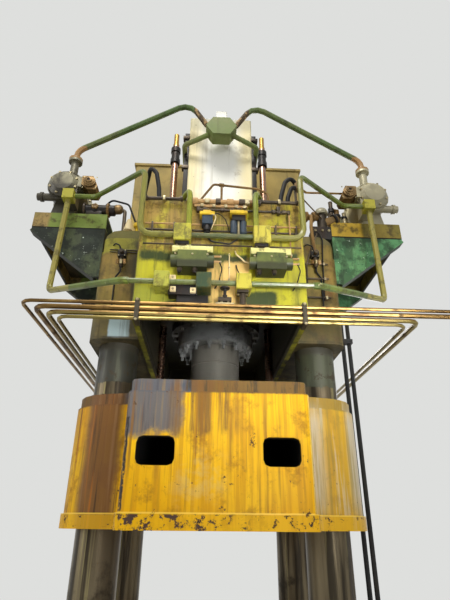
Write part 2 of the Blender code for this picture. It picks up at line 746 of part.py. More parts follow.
def make_packing():
    """The ring of packing that the gland squeezes round the ram."""
    low = GLAND_TOP + GLAND_NOSE + GAP
    high = GLAND_TOP + STUFFING_DEPTH - GAP
    profile = [(RAM_R + RUNNING, high), (STUFFING_R - GAP, high), (STUFFING_R - GAP, low), (RAM_R + RUNNING, low)]
    turned("ram_packing", profile, SEAL, sides=BIG_ROUND)


def make_gland():
    """The gland ring, its nose in the stuffing box and its nuts and studs hanging below."""
    top = GLAND_TOP - GAP
    profile = [
        (RAM_R + RUNNING, GLAND_TOP + GLAND_NOSE),
        (STUFFING_R - GAP, GLAND_TOP + GLAND_NOSE),
        (STUFFING_R - GAP, top),
        (GLAND_R, top),
        (GLAND_R, GLAND_Z + 0.020),
        (GLAND_R - 0.020, GLAND_Z),
        (RAM_R + RUNNING, GLAND_Z),
    ]
    gland = turned("gland_ring", profile, CAST, sides=BIG_ROUND)
    fuse(gland, *hex_ring("gland_nut", GLAND_STUDS, GLAND_STUD_PCR, GLAND_Z, STUD_LENGTH))


def make_ram():
    """The main ram, standing on the slide and grooved where its nose is joined."""
    low = SLIDE_TOP + GAP
    high = CYLINDER_TOP - CYLINDER_END - RAM_TOP_CLEAR
    groove = SLIDE_TOP + RAM_GROOVE_Z
    profile = [
        (0.0, high),
        (RAM_R - 0.015, high),
        (RAM_R, high - 0.015),
        (RAM_R, groove + RAM_GROOVE),
        (RAM_R - RAM_GROOVE, groove),
        (RAM_R, groove - RAM_GROOVE),
        (RAM_R, low),
        (0.0, low),
    ]
    return [turned("main_ram", profile, CHROME, sides=BIG_ROUND)]


# Prefill valve and tanks
def make_prefill_valve():
    """The valve body between the cylinder's top and the tank above it."""
    low, high = CYLINDER_TOP + GAP, TANK_Z - GAP
    lip = 0.045
    neck = PREFILL_R - 0.060
    profile = [
        (PREFILL_PORT_R, high),
        (PREFILL_R, high),
        (PREFILL_R, high - lip),
        (neck, high - lip),
        (neck, low + lip),
        (PREFILL_R, low + lip),
        (PREFILL_R, low),
        (PREFILL_PORT_R, low),
    ]
    turned("prefill_valve", profile, CAST)


def make_tank():
    """The upright prefill tank, on four legs that stand on the deck."""
    tank = block("prefill_tank", (-TANK_HALF_X, TANK_FRONT_Y, TANK_Z), (TANK_HALF_X, TANK_BACK_Y, TANK_TOP),
                 CREAM, TANK_EDGE)
    for sign in (-1, 1):
        for y in (TANK_FRONT_Y + LEG_SIZE, TANK_BACK_Y - LEG_SIZE):
            x = sign * (TANK_HALF_X - LEG_SIZE / 2 - TANK_EDGE)
            leg = block(f"tank_leg_{sign}_{y:.1f}", (x - LEG_SIZE / 2, y - LEG_SIZE / 2, DECK_Z + GAP),
                        (x + LEG_SIZE / 2, y + LEG_SIZE / 2, TANK_Z + 0.02), CREAM)
            fuse(tank, leg)


def make_reservoir():
    """The wide oil reservoir behind the tank, on two feet."""
    low = DECK_Z + RESERVOIR_RAISE
    high = low + RESERVOIR_HEIGHT
    reservoir = block("oil_reservoir", (-RESERVOIR_HALF_X, RESERVOIR_FRONT_Y, low),
                      (RESERVOIR_HALF_X, RESERVOIR_BACK_Y, high), OLIVE, 0.015)
    lid = block("reservoir_lid", (-RESERVOIR_HALF_X - 0.03, RESERVOIR_FRONT_Y - 0.03, high - 0.03),
                (RESERVOIR_HALF_X + 0.03, RESERVOIR_BACK_Y + 0.03, high + 0.02), OLIVE)
    fuse(reservoir, lid)
    for sign in (-1, 1):
        x = sign * RESERVOIR_FOOT_X
        half = RESERVOIR_FOOT_WIDTH / 2
        foot = block(f"reservoir_foot_{sign}", (x - half, RESERVOIR_FRONT_Y + 0.05, DECK_Z + GAP),
                     (x + half, RESERVOIR_BACK_Y - 0.05, low + 0.02), OLIVE)
        fuse(reservoir, foot)


# Pull-back gear
def make_pull_back(side, sign):
    """A pull-back cylinder on the deck, and the rod through it that lifts the slide."""
    x = sign * PULL_X
    where = Matrix.Translation((x, 0.0, 0.0))
    bore = PULL_ROD_R + RUNNING
    base = DECK_Z + GAP
    head = DECK_Z + PULL_CYLINDER_HEIGHT
    cylinder_profile = [
        (bore, head),
        (PULL_HEAD_R - 0.015, head),
        (PULL_HEAD_R, head - 0.015),
        (PULL_HEAD_R, head - PULL_HEAD_HEIGHT),
        (PULL_CYLINDER_R, head - PULL_HEAD_HEIGHT),
        (PULL_CYLINDER_R, base + PULL_FLANGE_THICK),
        (PULL_FLANGE_R, base + PULL_FLANGE_THICK),
        (PULL_FLANGE_R, base),
        (bore, base),
    ]
    turned(f"pullback_cylinder_{side}", cylinder_profile, GREEN, where)
    collar_z = head + STROKE + STOP_CLEAR
    collar_top = collar_z + COLLAR_HEIGHT
    tip = collar_top + 0.060
    low = SLIDE_TOP + GAP
    rod_profile = [
        (0.0, tip),
        (PULL_ROD_R, tip),
        (PULL_ROD_R, low + PULL_FOOT_HEIGHT),
        (PULL_FOOT_R, low + PULL_FOOT_HEIGHT),
        (PULL_FOOT_R, low),
        (0.0, low),
    ]
    pull_rod = turned(f"pullback_rod_{side}", rod_profile, CHROME, where)
    fit = PULL_ROD_R + GAP
    collar_profile = [
        (fit, collar_top),
        (COLLAR_R, collar_top),
        (COLLAR_R, collar_top - 0.100),
        (COLLAR_R - 0.014, collar_top - 0.100),
        (COLLAR_R - 0.014, collar_z + 0.100),
        (COLLAR_R, collar_z + 0.100),
        (COLLAR_R, collar_z),
        (fit, collar_z),
    ]
    collar = turned(f"stop_collar_{side}", collar_profile, BLACK, where)
    cap_z = tip + GAP
    cap_profile = [
        (0.0, cap_z + CAP_HEIGHT),
        (CAP_R - 0.010, cap_z + CAP_HEIGHT),
        (CAP_R, cap_z + CAP_HEIGHT - 0.010),
        (CAP_R, cap_z + 0.040),
        (PULL_ROD_R, cap_z + 0.040),
        (PULL_ROD_R, cap_z),
        (0.0, cap_z),
    ]
    cap = turned(f"rod_cap_{side}", cap_profile, BRASS, where)
    return [pull_rod, collar, cap]


# Pump platforms
def make_platform(side, sign):
    """A bracket on the crown's ear: a deck plate on two gussets, with a sloping brace under each."""
    inner = EAR_HALF_X + GAP
    out = PLATFORM_OUT_X
    low = PLATFORM_Z - PLATFORM_BAND
    toe = low - GUSSET_DEPTH

    def along_x(points):
        return [(sign * x, z) for x, z in points]

    band = along_x([(inner, low), (out, low), (out, PLATFORM_Z), (inner, PLATFORM_Z)])
    platform = plate(f"pump_platform_{side}", band, PLATFORM_FRONT_Y, PLATFORM_FRONT_Y + PLATFORM_PLATE,
                     LIME, "Y")
    back_band = plate(f"platform_back_{side}", band, PLATFORM_BACK_Y - PLATFORM_PLATE, PLATFORM_BACK_Y,
                      LIME, "Y")
    xs = sorted((sign * inner, sign * (out - 0.001)))
    top = block(f"platform_top_{side}", (xs[0], PLATFORM_FRONT_Y + 0.010, PLATFORM_Z - PLATFORM_PLATE),
                (xs[1], PLATFORM_BACK_Y - 0.010, PLATFORM_Z - 0.001), LIME)
    xs = sorted((sign * (out - PLATFORM_PLATE), sign * (out - 0.002)))
    end = block(f"platform_end_{side}", (xs[0], PLATFORM_FRONT_Y + 0.010, low + 0.002),
                (xs[1], PLATFORM_BACK_Y - 0.010, PLATFORM_Z - 0.010), LIME)
    fuse(platform, back_band, top, end)
    gusset = along_x([(inner, toe), (inner + 0.060, toe), (out, low - GUSSET_TIP), (out, low + 0.010),
                      (inner, low + 0.010)])
    slope = Vector((out - inner - 0.060, low - GUSSET_TIP - toe)).normalized()
    normal = Vector((slope.y, -slope.x)) * GUSSET_THICK
    first = Vector((inner + 0.060, toe))
    last = Vector((out, low - GUSSET_TIP))
    brace = along_x([tuple(first + normal), tuple(last + normal), tuple(last - normal * 0.3),
                     tuple(first - normal * 0.3)])
    pad_half = BRACE_WIDTH / 2
    for name, y in (("front", PLATFORM_FRONT_Y), ("back", EAR_WAIST_HALF_Y + 0.02)):
        web = plate(f"gusset_{side}_{name}", gusset, y + 0.005, y + 0.005 + GUSSET_THICK, MINT, "Y")
        flange = plate(f"brace_{side}_{name}", brace, y + 0.002, y + BRACE_WIDTH * 0.6, MINT, "Y")
        xs = sorted((sign * inner, sign * (inner + MOUNT_PLATE)))
        pad = block(f"mount_pad_{side}_{name}", (xs[0], y + 0.001, toe + 0.001),
                    (xs[1], y + pad_half, low + 0.020), MINT)
        fuse(platform, web, flange, pad)


# Pumps, shafts and motors
def make_pump(side, sign):
    """An axial-piston pump: round body on a foot, inlet on top, outlet boss in front, servo outside."""
    x = sign * PUMP_X
    lay = Matrix.Translation((x, 0.0, PUMP_Z)) @ Matrix.Rotation(pi / 2, 4, "X")
    front, back = -PUMP_FRONT_Y, -PUMP_BACK_Y
    profile = [
        (0.0, front),
        (PUMP_R * 0.60, front),
        (PUMP_R * 0.90, front - PUMP_NOSE),
        (PUMP_R * 0.90, front - PUMP_NOSE * 1.5),
        (PUMP_R, front - PUMP_NOSE * 1.5),
        (PUMP_R, back + PUMP_FLANGE_THICK),
        (PUMP_FLANGE_R, back + PUMP_FLANGE_THICK),
        (PUMP_FLANGE_R, back),
        (SHAFT_BORE_R, back),
        (SHAFT_BORE_R, back + SHAFT_BITE + RUNNING),
        (0.0, back + SHAFT_BITE + RUNNING),
    ]
    pump = turned(f"pump_{side}", profile, CAST, lay)
    foot_top = PUMP_Z - PUMP_R * 0.6
    foot = plate(f"pump_foot_{side}", [(x - PUMP_FOOT_WIDTH / 2, PLATFORM_Z + GAP),
                                       (x + PUMP_FOOT_WIDTH / 2, PLATFORM_Z + GAP),
                                       (x + PUMP_FOOT_WIDTH / 3, foot_top),
                                       (x - PUMP_FOOT_WIDTH / 3, foot_top)],
                 PLATFORM_FRONT_Y + 0.05, PUMP_BACK_Y - 0.07, CAST, "Y")
    seat_x = x - sign * HOUSING_SEAT
    xs = sorted((x, seat_x))
    seat = block(f"pump_seat_{side}", (xs[0], PORT_Y - HOUSING_DEPTH / 2 + 0.01, PUMP_Z - 0.060),
                 (xs[1], PORT_Y + HOUSING_DEPTH / 2, PUMP_Z + HOUSING_TOP - 0.01), CAST)
    servo_z = PUMP_Z - SERVO_DROP
    servo = rod(f"pump_servo_{side}", (x + sign * 0.05, PORT_Y, servo_z),
                (x + sign * SERVO_REACH, PORT_Y, servo_z), SERVO_R, CAST, SMALL_ROUND)
    ring = rod(f"pump_servo_ring_{side}", (x + sign * SERVO_REACH * 0.78, PORT_Y, servo_z),
               (x + sign * SERVO_REACH * 0.88, PORT_Y, servo_z), SERVO_R * 1.3, CAST, SMALL_ROUND)
    port_x = sign * PORT_X
    neck = rod(f"pump_neck_{side}", (port_x, PORT_Y, PUMP_Z), (port_x, PORT_Y, PORT_Z - 0.010), PORT_NECK_R,
               CAST, SMALL_ROUND)
    rim = rod(f"pump_rim_{side}", (port_x, PORT_Y, PORT_Z - 0.035), (port_x, PORT_Y, PORT_Z), PORT_FLANGE_R,
              CAST, SMALL_ROUND)
    half = TEE_SIZE * 0.45
    boss = block(f"pump_boss_{side}", (sign * TEE_X - half, TEE_BACK_Y + GAP, TEE_Z - half),
                 (sign * TEE_X + half, PORT_Y + 0.060, PUMP_Z - 0.080), CAST)
    fuse(pump, foot, seat, servo, ring, neck, rim, boss)


def make_control_housing(side, sign):
    """The bronze housing of the pump's stroke control, with the bore of its dial in the front."""
    x = sign * PUMP_X
    top = HOUSING_TOP
    reach = HOUSING_REACH
    seat = HOUSING_SEAT + GAP
    shape = [(seat, top), (reach * 0.84, top), (reach, -top * 0.31), (reach * 0.95, -top * 0.81),
             (reach * 0.72, -top * 0.81), (seat, -top * 0.15)]
    outline = [(x - sign * u, PUMP_Z + v) for u, v in shape]
    front = PORT_Y - HOUSING_DEPTH / 2
    housing = plate(f"control_housing_{side}", outline, front, front + HOUSING_DEPTH, BRONZE, "Y")
    dial_x, dial_z = x - sign * reach * 0.69, PUMP_Z + top * 0.42
    ring = rod(f"dial_ring_{side}", (dial_x, front - 0.025, dial_z), (dial_x, front + 0.02, dial_z), 0.055,
               BRONZE, SMALL_ROUND)
    bore = rod(f"dial_bore_{side}", (dial_x, front - 0.1, dial_z), (dial_x, front + 0.05, dial_z), 0.026,
               BRONZE, 8)
    fuse(housing, ring)
    cut(housing, bore)


def make_shaft(side, sign):
    """The shaft and its two coupling halves between motor and pump."""
    lay = Matrix.Translation((sign * PUMP_X, 0.0, PUMP_Z)) @ Matrix.Rotation(pi / 2, 4, "X")
    near, far = -PUMP_BACK_Y + SHAFT_BITE, -MOTOR_FRONT_Y - SHAFT_BITE
    middle = (-PUMP_BACK_Y - MOTOR_FRONT_Y) / 2
    half = 0.006
    profile = [
        (0.0, near),
        (SHAFT_R, near),
        (SHAFT_R, middle + COUPLING_DISC + half),
        (COUPLING_R, middle + COUPLING_DISC + half),
        (COUPLING_R, middle + half),
        (COUPLING_R - 0.020, middle + half),
        (COUPLING_R - 0.020, middle - half),
        (COUPLING_R, middle - half),
        (COUPLING_R, middle - COUPLING_DISC - half),
        (SHAFT_R, middle - COUPLING_DISC - half),
        (SHAFT_R, far),
        (0.0, far),
    ]
    turned(f"drive_shaft_{side}", profile, BLACK, lay)


def make_motor(side, sign):
    """The electric motor behind the pump: ribbed frame on feet, with a fan cowl at the back."""
    x = sign * PUMP_X
    lay = Matrix.Translation((x, 0.0, PUMP_Z)) @ Matrix.Rotation(pi / 2, 4, "X")
    front, back = -MOTOR_FRONT_Y, -MOTOR_BACK_Y
    shell = MOTOR_R - MOTOR_RIB_HEIGHT
    profile = [
        (0.0, front),
        (MOTOR_R * 0.5, front),
        (MOTOR_R, front - 0.050),
        (MOTOR_R, front - 0.110),
        (shell * 0.9, front - 0.110),
        (shell * 0.9, back + 0.230),
        (MOTOR_R, back + 0.230),
        (MOTOR_R, back + 0.040),
        (MOTOR_R - 0.050, back),
        (0.0, back),
    ]
    motor = turned(f"motor_{side}", profile, GREEN, lay)
    comb = []
    for index in range(MOTOR_RIBS):
        middle = 2 * pi * index / MOTOR_RIBS
        half = pi / MOTOR_RIBS
        for radius, angle in ((shell, middle - half), (MOTOR_R - 0.006, middle - half * 0.25),
                              (MOTOR_R - 0.006, middle + half * 0.25)):
            comb.append((x + radius * cos(angle), PUMP_Z + radius * sin(angle)))
    ribs = plate(f"motor_ribs_{side}", comb, MOTOR_FRONT_Y + 0.100, MOTOR_BACK_Y - 0.220, GREEN, "Y")
    feet = block(f"motor_feet_{side}", (x - MOTOR_FOOT_WIDTH / 2, MOTOR_FRONT_Y + 0.15, PLATFORM_Z + GAP),
                 (x + MOTOR_FOOT_WIDTH / 2, MOTOR_BACK_Y - 0.30, PLATFORM_Z + 0.040), GREEN)
    pedestal = block(f"motor_pedestal_{side}", (x - MOTOR_R * 0.5, MOTOR_FRONT_Y + 0.16, PLATFORM_Z + 0.020),
                     (x + MOTOR_R * 0.5, MOTOR_BACK_Y - 0.31, PUMP_Z - MOTOR_R * 0.7), GREEN)
    terminal = block(f"motor_terminal_{side}", (x - 0.100, -0.300, PUMP_Z + MOTOR_R * 0.7),
                     (x + 0.100, 0.000, PUMP_Z + MOTOR_R + 0.120), GREEN)
    fuse(motor, ribs, feet, pedestal, terminal)
    hole = rod(f"motor_hole_{side}", (x, MOTOR_FRONT_Y - 0.1, PUMP_Z),
               (x, MOTOR_FRONT_Y + SHAFT_BITE + RUNNING, PUMP_Z), SHAFT_BORE_R, GREEN)
    cut(motor, hole)


# Piping
def make_arc_pipe(side, sign):
    """The pipe that rises from the pump's top, climbs to the middle and drops into the manifold."""
    port_z = PORT_Z + GAP
    manifold_z = TANK_TOP - MANIFOLD_DROP
    chamfer = Vector((MANIFOLD_HALF_Z, MANIFOLD_HALF_X * 0.45)).normalized()
    seat = Vector((MANIFOLD_HALF_X * 0.775, manifold_z + MANIFOLD_HALF_Z / 2))
    start = seat + chamfer * GAP
    elbow = start + chamfer * 0.060
    points = [
        (PORT_X, port_z),
        (PORT_X, port_z + 0.200),
        (0.520, TANK_TOP - 0.020),
        tuple(elbow),
        tuple(start),
    ]
    run = [(sign * px, PORT_Y, pz) for px, pz in points]
    arc = pipe(f"arc_pipe_{side}", bent(run[:4], 0.200) + [Vector(run[4])], ARC_PIPE_R, GREEN)
    foot = rod(f"arc_foot_{side}", (sign * PORT_X, PORT_Y, port_z), (sign * PORT_X, PORT_Y, port_z + 0.035),
               PORT_FLANGE_R, GREEN, SMALL_ROUND)
    fuse(arc, foot)


def make_manifold():
    """The six-sided junction block in front of the tank, with two legs that reach round the tank's sides."""
    middle = TANK_TOP - MANIFOLD_DROP
    y = PORT_Y
    half_x, half_z = MANIFOLD_HALF_X, MANIFOLD_HALF_Z
    top_x = half_x * 0.55
    outline = [(half_x, middle), (top_x, middle + half_z), (-top_x, middle + half_z), (-half_x, middle),
               (-top_x, middle - half_z), (top_x, middle - half_z)]
    manifold = plate("top_manifold", outline, y - MANIFOLD_THICK / 2, y + MANIFOLD_THICK / 2, GREEN, "Y")
    for side, sign in SIDES.items():
        wide = TANK_HALF_X + MANIFOLD_LEG_R + 0.030
        low = middle - half_z * 0.9
        run = [(sign * top_x, y, middle - half_z * 0.3), (sign * wide, TANK_FRONT_Y - 0.120, low),
               (sign * wide, TANK_FRONT_Y + 0.350, low), (sign * (TANK_HALF_X + GAP), TANK_FRONT_Y + 0.350, low)]
        leg = pipe(f"manifold_leg_{side}", bent(run, 0.060, 3), MANIFOLD_LEG_R, GREEN)
        fuse(manifold, leg)
    half = BREATHER_SIZE / 2
    low = middle + half_z + GAP
    block("breather_box", (-half, y - half, low), (half, y + half, low + BREATHER_SIZE), CREAM, 0.010)


def make_pump_lines(side, sign):
    """The square tee on the pump's outlet, the delivery line to the upper header and the line down.

    They are welded together, and bolt to the pump and the headers as one piece.
    """
    half = TEE_SIZE / 2
    y = TEE_BACK_Y - half
    x = sign * TEE_X
    upper_z = DECK_Z + UPPER_HEADER_Z
    lower_z = DECK_Z + LOWER_HEADER_Z
    riser_top = DECK_Z + RISER_TOP_Z
    block_side = UPPER_BLOCK_X + UPPER_BLOCK_WIDTH / 2 + GAP
    tee = block(f"pump_tee_{side}", (x - half, y - half, TEE_Z - half), (x + half, y + half, TEE_Z + half), GREEN)
    over = [
        (x, y, TEE_Z),
        (x - sign * 0.360, y, TEE_Z),
        (sign * RISER_X, LINE_Y, riser_top),
        (sign * RISER_X, LINE_Y, upper_z),
        (sign * block_side, LINE_Y, upper_z),
    ]
    delivery = pipe(f"delivery_pipe_{side}", bent(over, BEND_R), DELIVERY_PIPE_R, GREEN)
    down = [
        (x, y, TEE_Z),
        (x + sign * 0.030, y, lower_z + 0.310),
        (sign * (LOWER_HEADER_HALF + 0.080), LINE_Y, lower_z),
        (sign * (LOWER_HEADER_HALF + GAP), LINE_Y, lower_z),
    ]
    drop = pipe(f"down_pipe_{side}", bent(down, 0.090), DOWN_PIPE_R, GREEN)
    fuse(delivery, tee, drop)


def make_pull_pipe(side, sign):
    """From the upper header's block up over the deck and back to the pull-back cylinder."""
    block_top = DECK_Z + UPPER_HEADER_Z + UPPER_BLOCK_HEIGHT / 2 + GAP
    over = DECK_Z + PULL_PIPE_R * 2 + 0.010
    x = UPPER_BLOCK_X - 0.060
    run = [
        (sign * x, LINE_Y, block_top),
        (sign * x, LINE_Y, over),
        (sign * (x + 0.260), FACE_Y + 0.420, over),
        (sign * PULL_X, FACE_Y + 0.900, over),
        (sign * PULL_X, -PULL_FLANGE_R - 0.090, over),
    ]
    line = pipe(f"pullback_pipe_{side}", bent(run, 0.100), PULL_PIPE_R, GREEN)
    rise = pipe(f"pullback_rise_{side}", bent([(sign * PULL_X, -PULL_FLANGE_R - 0.130, over),
                                               (sign * PULL_X, -PULL_FLANGE_R - 0.050, over),
                                               (sign * PULL_X, -PULL_FLANGE_R - 0.050, over + 0.200),
                                               (sign * PULL_X, -PULL_CYLINDER_R - GAP, over + 0.200)],
                                              0.040, 2), PULL_PIPE_R * 0.96, GREEN)
    fuse(line, rise)


def face_block(name, x, z, width, height, paint):
    """A square block bolted to the crown's face, with the pipe line through its middle."""
    return block(name, (x - width / 2, FACE_Y - BLOCK_DEPTH, z - height / 2),
                 (x + width / 2, FACE_Y - GAP, z + height / 2), paint, 0.008)


def make_upper_header():
    """Two blocks on the crown's face with the cross pipe between them."""
    z = DECK_Z + UPPER_HEADER_Z
    header = pipe("upper_header", [(-UPPER_BLOCK_X, LINE_Y, z), (UPPER_BLOCK_X, LINE_Y, z)], HEADER_PIPE_R, LIME)
    for side, sign in SIDES.items():
        fuse(header, face_block(f"upper_block_{side}", sign * UPPER_BLOCK_X, z, UPPER_BLOCK_WIDTH,
                                UPPER_BLOCK_HEIGHT, LIME))


def make_lower_header():
    """The lower cross pipe with its three blocks."""
    z = DECK_Z + LOWER_HEADER_Z
    header = pipe("lower_header", [(-LOWER_HEADER_HALF, LINE_Y, z), (LOWER_HEADER_HALF, LINE_Y, z)],
                  HEADER_PIPE_R, GREEN)
    for index, x in enumerate(LOWER_BLOCK_XS):
        fuse(header, face_block(f"lower_block_{index}", x, z, LOWER_BLOCK_WIDTH, LOWER_BLOCK_HEIGHT, GREEN))


def make_valve(side, x):
    """A spool valve on the crown's face: a square body with a long round actuator on its top front."""
    z = DECK_Z + VALVE_Z
    half = VALVE_WIDTH / 2
    body = block(f"spool_valve_{side}", (x - half * 0.72, FACE_Y - BLOCK_DEPTH, z - 0.170),
                 (x + half * 0.72, FACE_Y - GAP, z + 0.040), GREEN)
    barrel_y = FACE_Y - BLOCK_DEPTH * 0.62
    barrel = rod(f"valve_barrel_{side}", (x - half, barrel_y, z + 0.070), (x + half, barrel_y, z + 0.070),
                 0.055, GREEN, SMALL_ROUND)
    cap_left = rod(f"valve_end_{side}", (x - half - 0.012, barrel_y, z - 0.065),
                   (x + half + 0.012, barrel_y, z - 0.065), 0.070, GREEN, SMALL_ROUND)
    collar = rod(f"valve_collar_{side}", (x - half * 0.30, barrel_y, z + 0.070),
                 (x - half * 0.10, barrel_y, z + 0.070), 0.066, GREEN, SMALL_ROUND)
    fuse(body, barrel, cap_left, collar)


def make_bundle():
    """Four long pipes across the crown's lower front, held by two clamps, their ends turned back."""
    clamp_low = CROWN_Z - max(BUNDLE_DROPS) - 0.030
    clamp_high = CROWN_Z - min(BUNDLE_DROPS) + 0.040
    clamps = [block(f"bundle_clamp_{side}", (sign * CLAMP_X - CLAMP_WIDTH / 2, LINE_Y - 0.040, clamp_low),
                    (sign * CLAMP_X + CLAMP_WIDTH / 2, FACE_Y - GAP, clamp_high), BLACK)
              for side, sign in SIDES.items()]
    bundle = None
    for index, radius in enumerate(BUNDLE_RS):
        z = CROWN_Z - BUNDLE_DROPS[index]
        left, right = BUNDLE_LEFT_XS[index], BUNDLE_RIGHT_XS[index]
        run = [(left, BUNDLE_BACK_Y, z), (left, LINE_Y, z), (right, LINE_Y, z)]
        if right < max(BUNDLE_RIGHT_XS):
            run.append((right, BUNDLE_BACK_Y, z))
        line = pipe(f"bundle_pipe_{index}", bent(run, BUNDLE_BEND_R), radius, COPPER)
        if bundle is None:
            bundle = line
        else:
            fuse(bundle, line)
    fuse(bundle, *clamps)
    bundle.name = "pipe_bundle"


def make_conduits():
    """Two black conduits down the right side, clipped to the crown's ear and to the bed."""
    top = EAR_Z + CONDUIT_TOP_RISE
    conduit = None
    outer = CONDUIT_WALL_X + CONDUIT_OFFSETS[-1] + CONDUIT_R + CLIP_LIP
    for index, offset in enumerate(CONDUIT_OFFSETS):
        x = CONDUIT_WALL_X + offset
        run = [(x, CONDUIT_Y, CONDUIT_FOOT_Z), (x, CONDUIT_Y, top)]
        line = pipe(f"conduit_{index}", run, CONDUIT_R, BLACK)
        if conduit is None:
            conduit = line
        else:
            fuse(conduit, line)
    walls = (("crown", EAR_Z + CLIP_TO_EDGE, EAR_HALF_X), ("bed", BED_HEIGHT - CLIP_TO_EDGE, BED_SIDE_X))
    for name, z, wall in walls:
        clip = block(f"conduit_clip_{name}", (wall + GAP, CONDUIT_Y - CLIP_HALF_Y, z - CLIP_HALF_Z),
                     (outer, CONDUIT_Y + CLIP_HALF_Y, z + CLIP_HALF_Z), BLACK)
        fuse(conduit, clip)
    conduit.name = "side_conduits"


def hang_on_slide(pieces):
    """Parents the moving pieces to an empty at the foot of the press's axis, where the slide's joint is."""
    axis = bpy.data.objects.new("slide_axis", None)
    PRESS.objects.link(axis)
    axis.location = (0.0, 0.0, SLIDE_Z)
    bpy.context.view_layer.update()
    for piece in pieces:
        piece.parent = axis
        piece.matrix_parent_inverse = axis.matrix_world.inverted()


def make_press():
    """Builds the whole press, from the floor up."""
    make_bed()
    make_bolster()
    make_columns()
    make_nuts()
    moving = make_slide() + make_bushes() + make_ram()
    make_crown()
    make_cylinder()
    make_packing()
    make_gland()
    make_prefill_valve()
    make_tank()
    make_reservoir()
    make_manifold()
    for side, sign in SIDES.items():
        moving += make_pull_back(side, sign)
        make_platform(side, sign)
        make_pump(side, sign)
        make_control_housing(side, sign)
        make_shaft(side, sign)
        make_motor(side, sign)
        make_arc_pipe(side, sign)
        make_pump_lines(side, sign)
        make_pull_pipe(side, sign)
    make_upper_header()
    make_lower_header()
    for side, x in zip(SIDES, VALVE_XS):
        make_valve(side, x)
    make_bundle()
    make_conduits()
    hang_on_slide(moving)


make_press()
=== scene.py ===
"""Dresses the hydraulic press: paint, oil and wear on its pieces, and the small valves, hoses, bolts and wires on it.

Metres, in the frame's own coordinates: Z up, X to the operator's right, Y away from the operator.
"""

from math import acos, cos, pi, radians, sin, tan

import bmesh
import bpy
from mathutils import Matrix, Quaternion, Vector


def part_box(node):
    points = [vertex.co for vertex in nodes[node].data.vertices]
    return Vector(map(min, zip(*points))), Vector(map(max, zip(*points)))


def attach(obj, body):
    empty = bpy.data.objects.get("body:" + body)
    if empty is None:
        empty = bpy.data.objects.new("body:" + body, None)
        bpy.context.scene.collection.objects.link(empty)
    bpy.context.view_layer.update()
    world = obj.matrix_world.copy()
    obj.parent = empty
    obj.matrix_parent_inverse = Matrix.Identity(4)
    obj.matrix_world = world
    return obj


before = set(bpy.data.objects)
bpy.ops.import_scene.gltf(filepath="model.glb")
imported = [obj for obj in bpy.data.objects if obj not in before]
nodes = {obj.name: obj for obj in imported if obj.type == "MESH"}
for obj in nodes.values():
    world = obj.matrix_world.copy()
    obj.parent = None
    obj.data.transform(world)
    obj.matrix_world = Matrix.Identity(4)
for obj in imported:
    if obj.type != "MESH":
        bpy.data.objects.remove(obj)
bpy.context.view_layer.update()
SIDES = {"left": -1, "right": 1}
CORNERS = ("front_left", "front_right", "rear_left", "rear_right")

# Levels and faces of the frame that the dressing goes by
SLIDE_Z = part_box("slide")[0].z
SLIDE_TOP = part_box("slide")[1].z
CROWN_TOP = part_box("crown")[1].z
DECK_Z = CROWN_TOP - 0.11
IN_DECK = DECK_Z - 0.004
FACE_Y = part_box("slide")[0].y + 0.022
TANK_LOW, TANK_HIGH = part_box("prefill_tank")
EAR_FRONT_Y = -1.45
CLAMP_X = 0.86
PANEL_X = 0.93
EAR_X = 0.97
PUMP_X = 2.24
PUMP_Z = 7.07
UP, DOWN, FRONT = (0, 0, 1), (0, 0, -1), (0, -1, 0)

# Levels of the pipes along the crown's upper edge
EDGE_Z = 6.145
STRIP_Z = 6.122
FEED_Z = 6.062
RETURN_Z = 6.008


# Materials
def tone(code):
    """Blender's linear colour for one written as on a screen, 0xRRGGBB."""
    values = [(code >> shift & 255) / 255 for shift in (16, 8, 0)]
    return (*(v / 12.92 if v <= 0.04045 else ((v + 0.055) / 1.055) ** 2.4 for v in values), 1.0)


def join(tree, source, socket):
    """Links a source to a socket or sets the socket to a value. None leaves it."""
    if isinstance(source, bpy.types.NodeSocket):
        tree.links.new(source, socket)
    elif source is not None:
        socket.default_value = source


def new_node(tree, kind, *sources, **settings):
    """A node with its settings, and its first inputs joined in their order."""
    node = tree.nodes.new(kind)
    for key, value in settings.items():
        setattr(node, key, value)
    for socket, source in zip(node.inputs, sources):
        join(tree, source, socket)
    return node


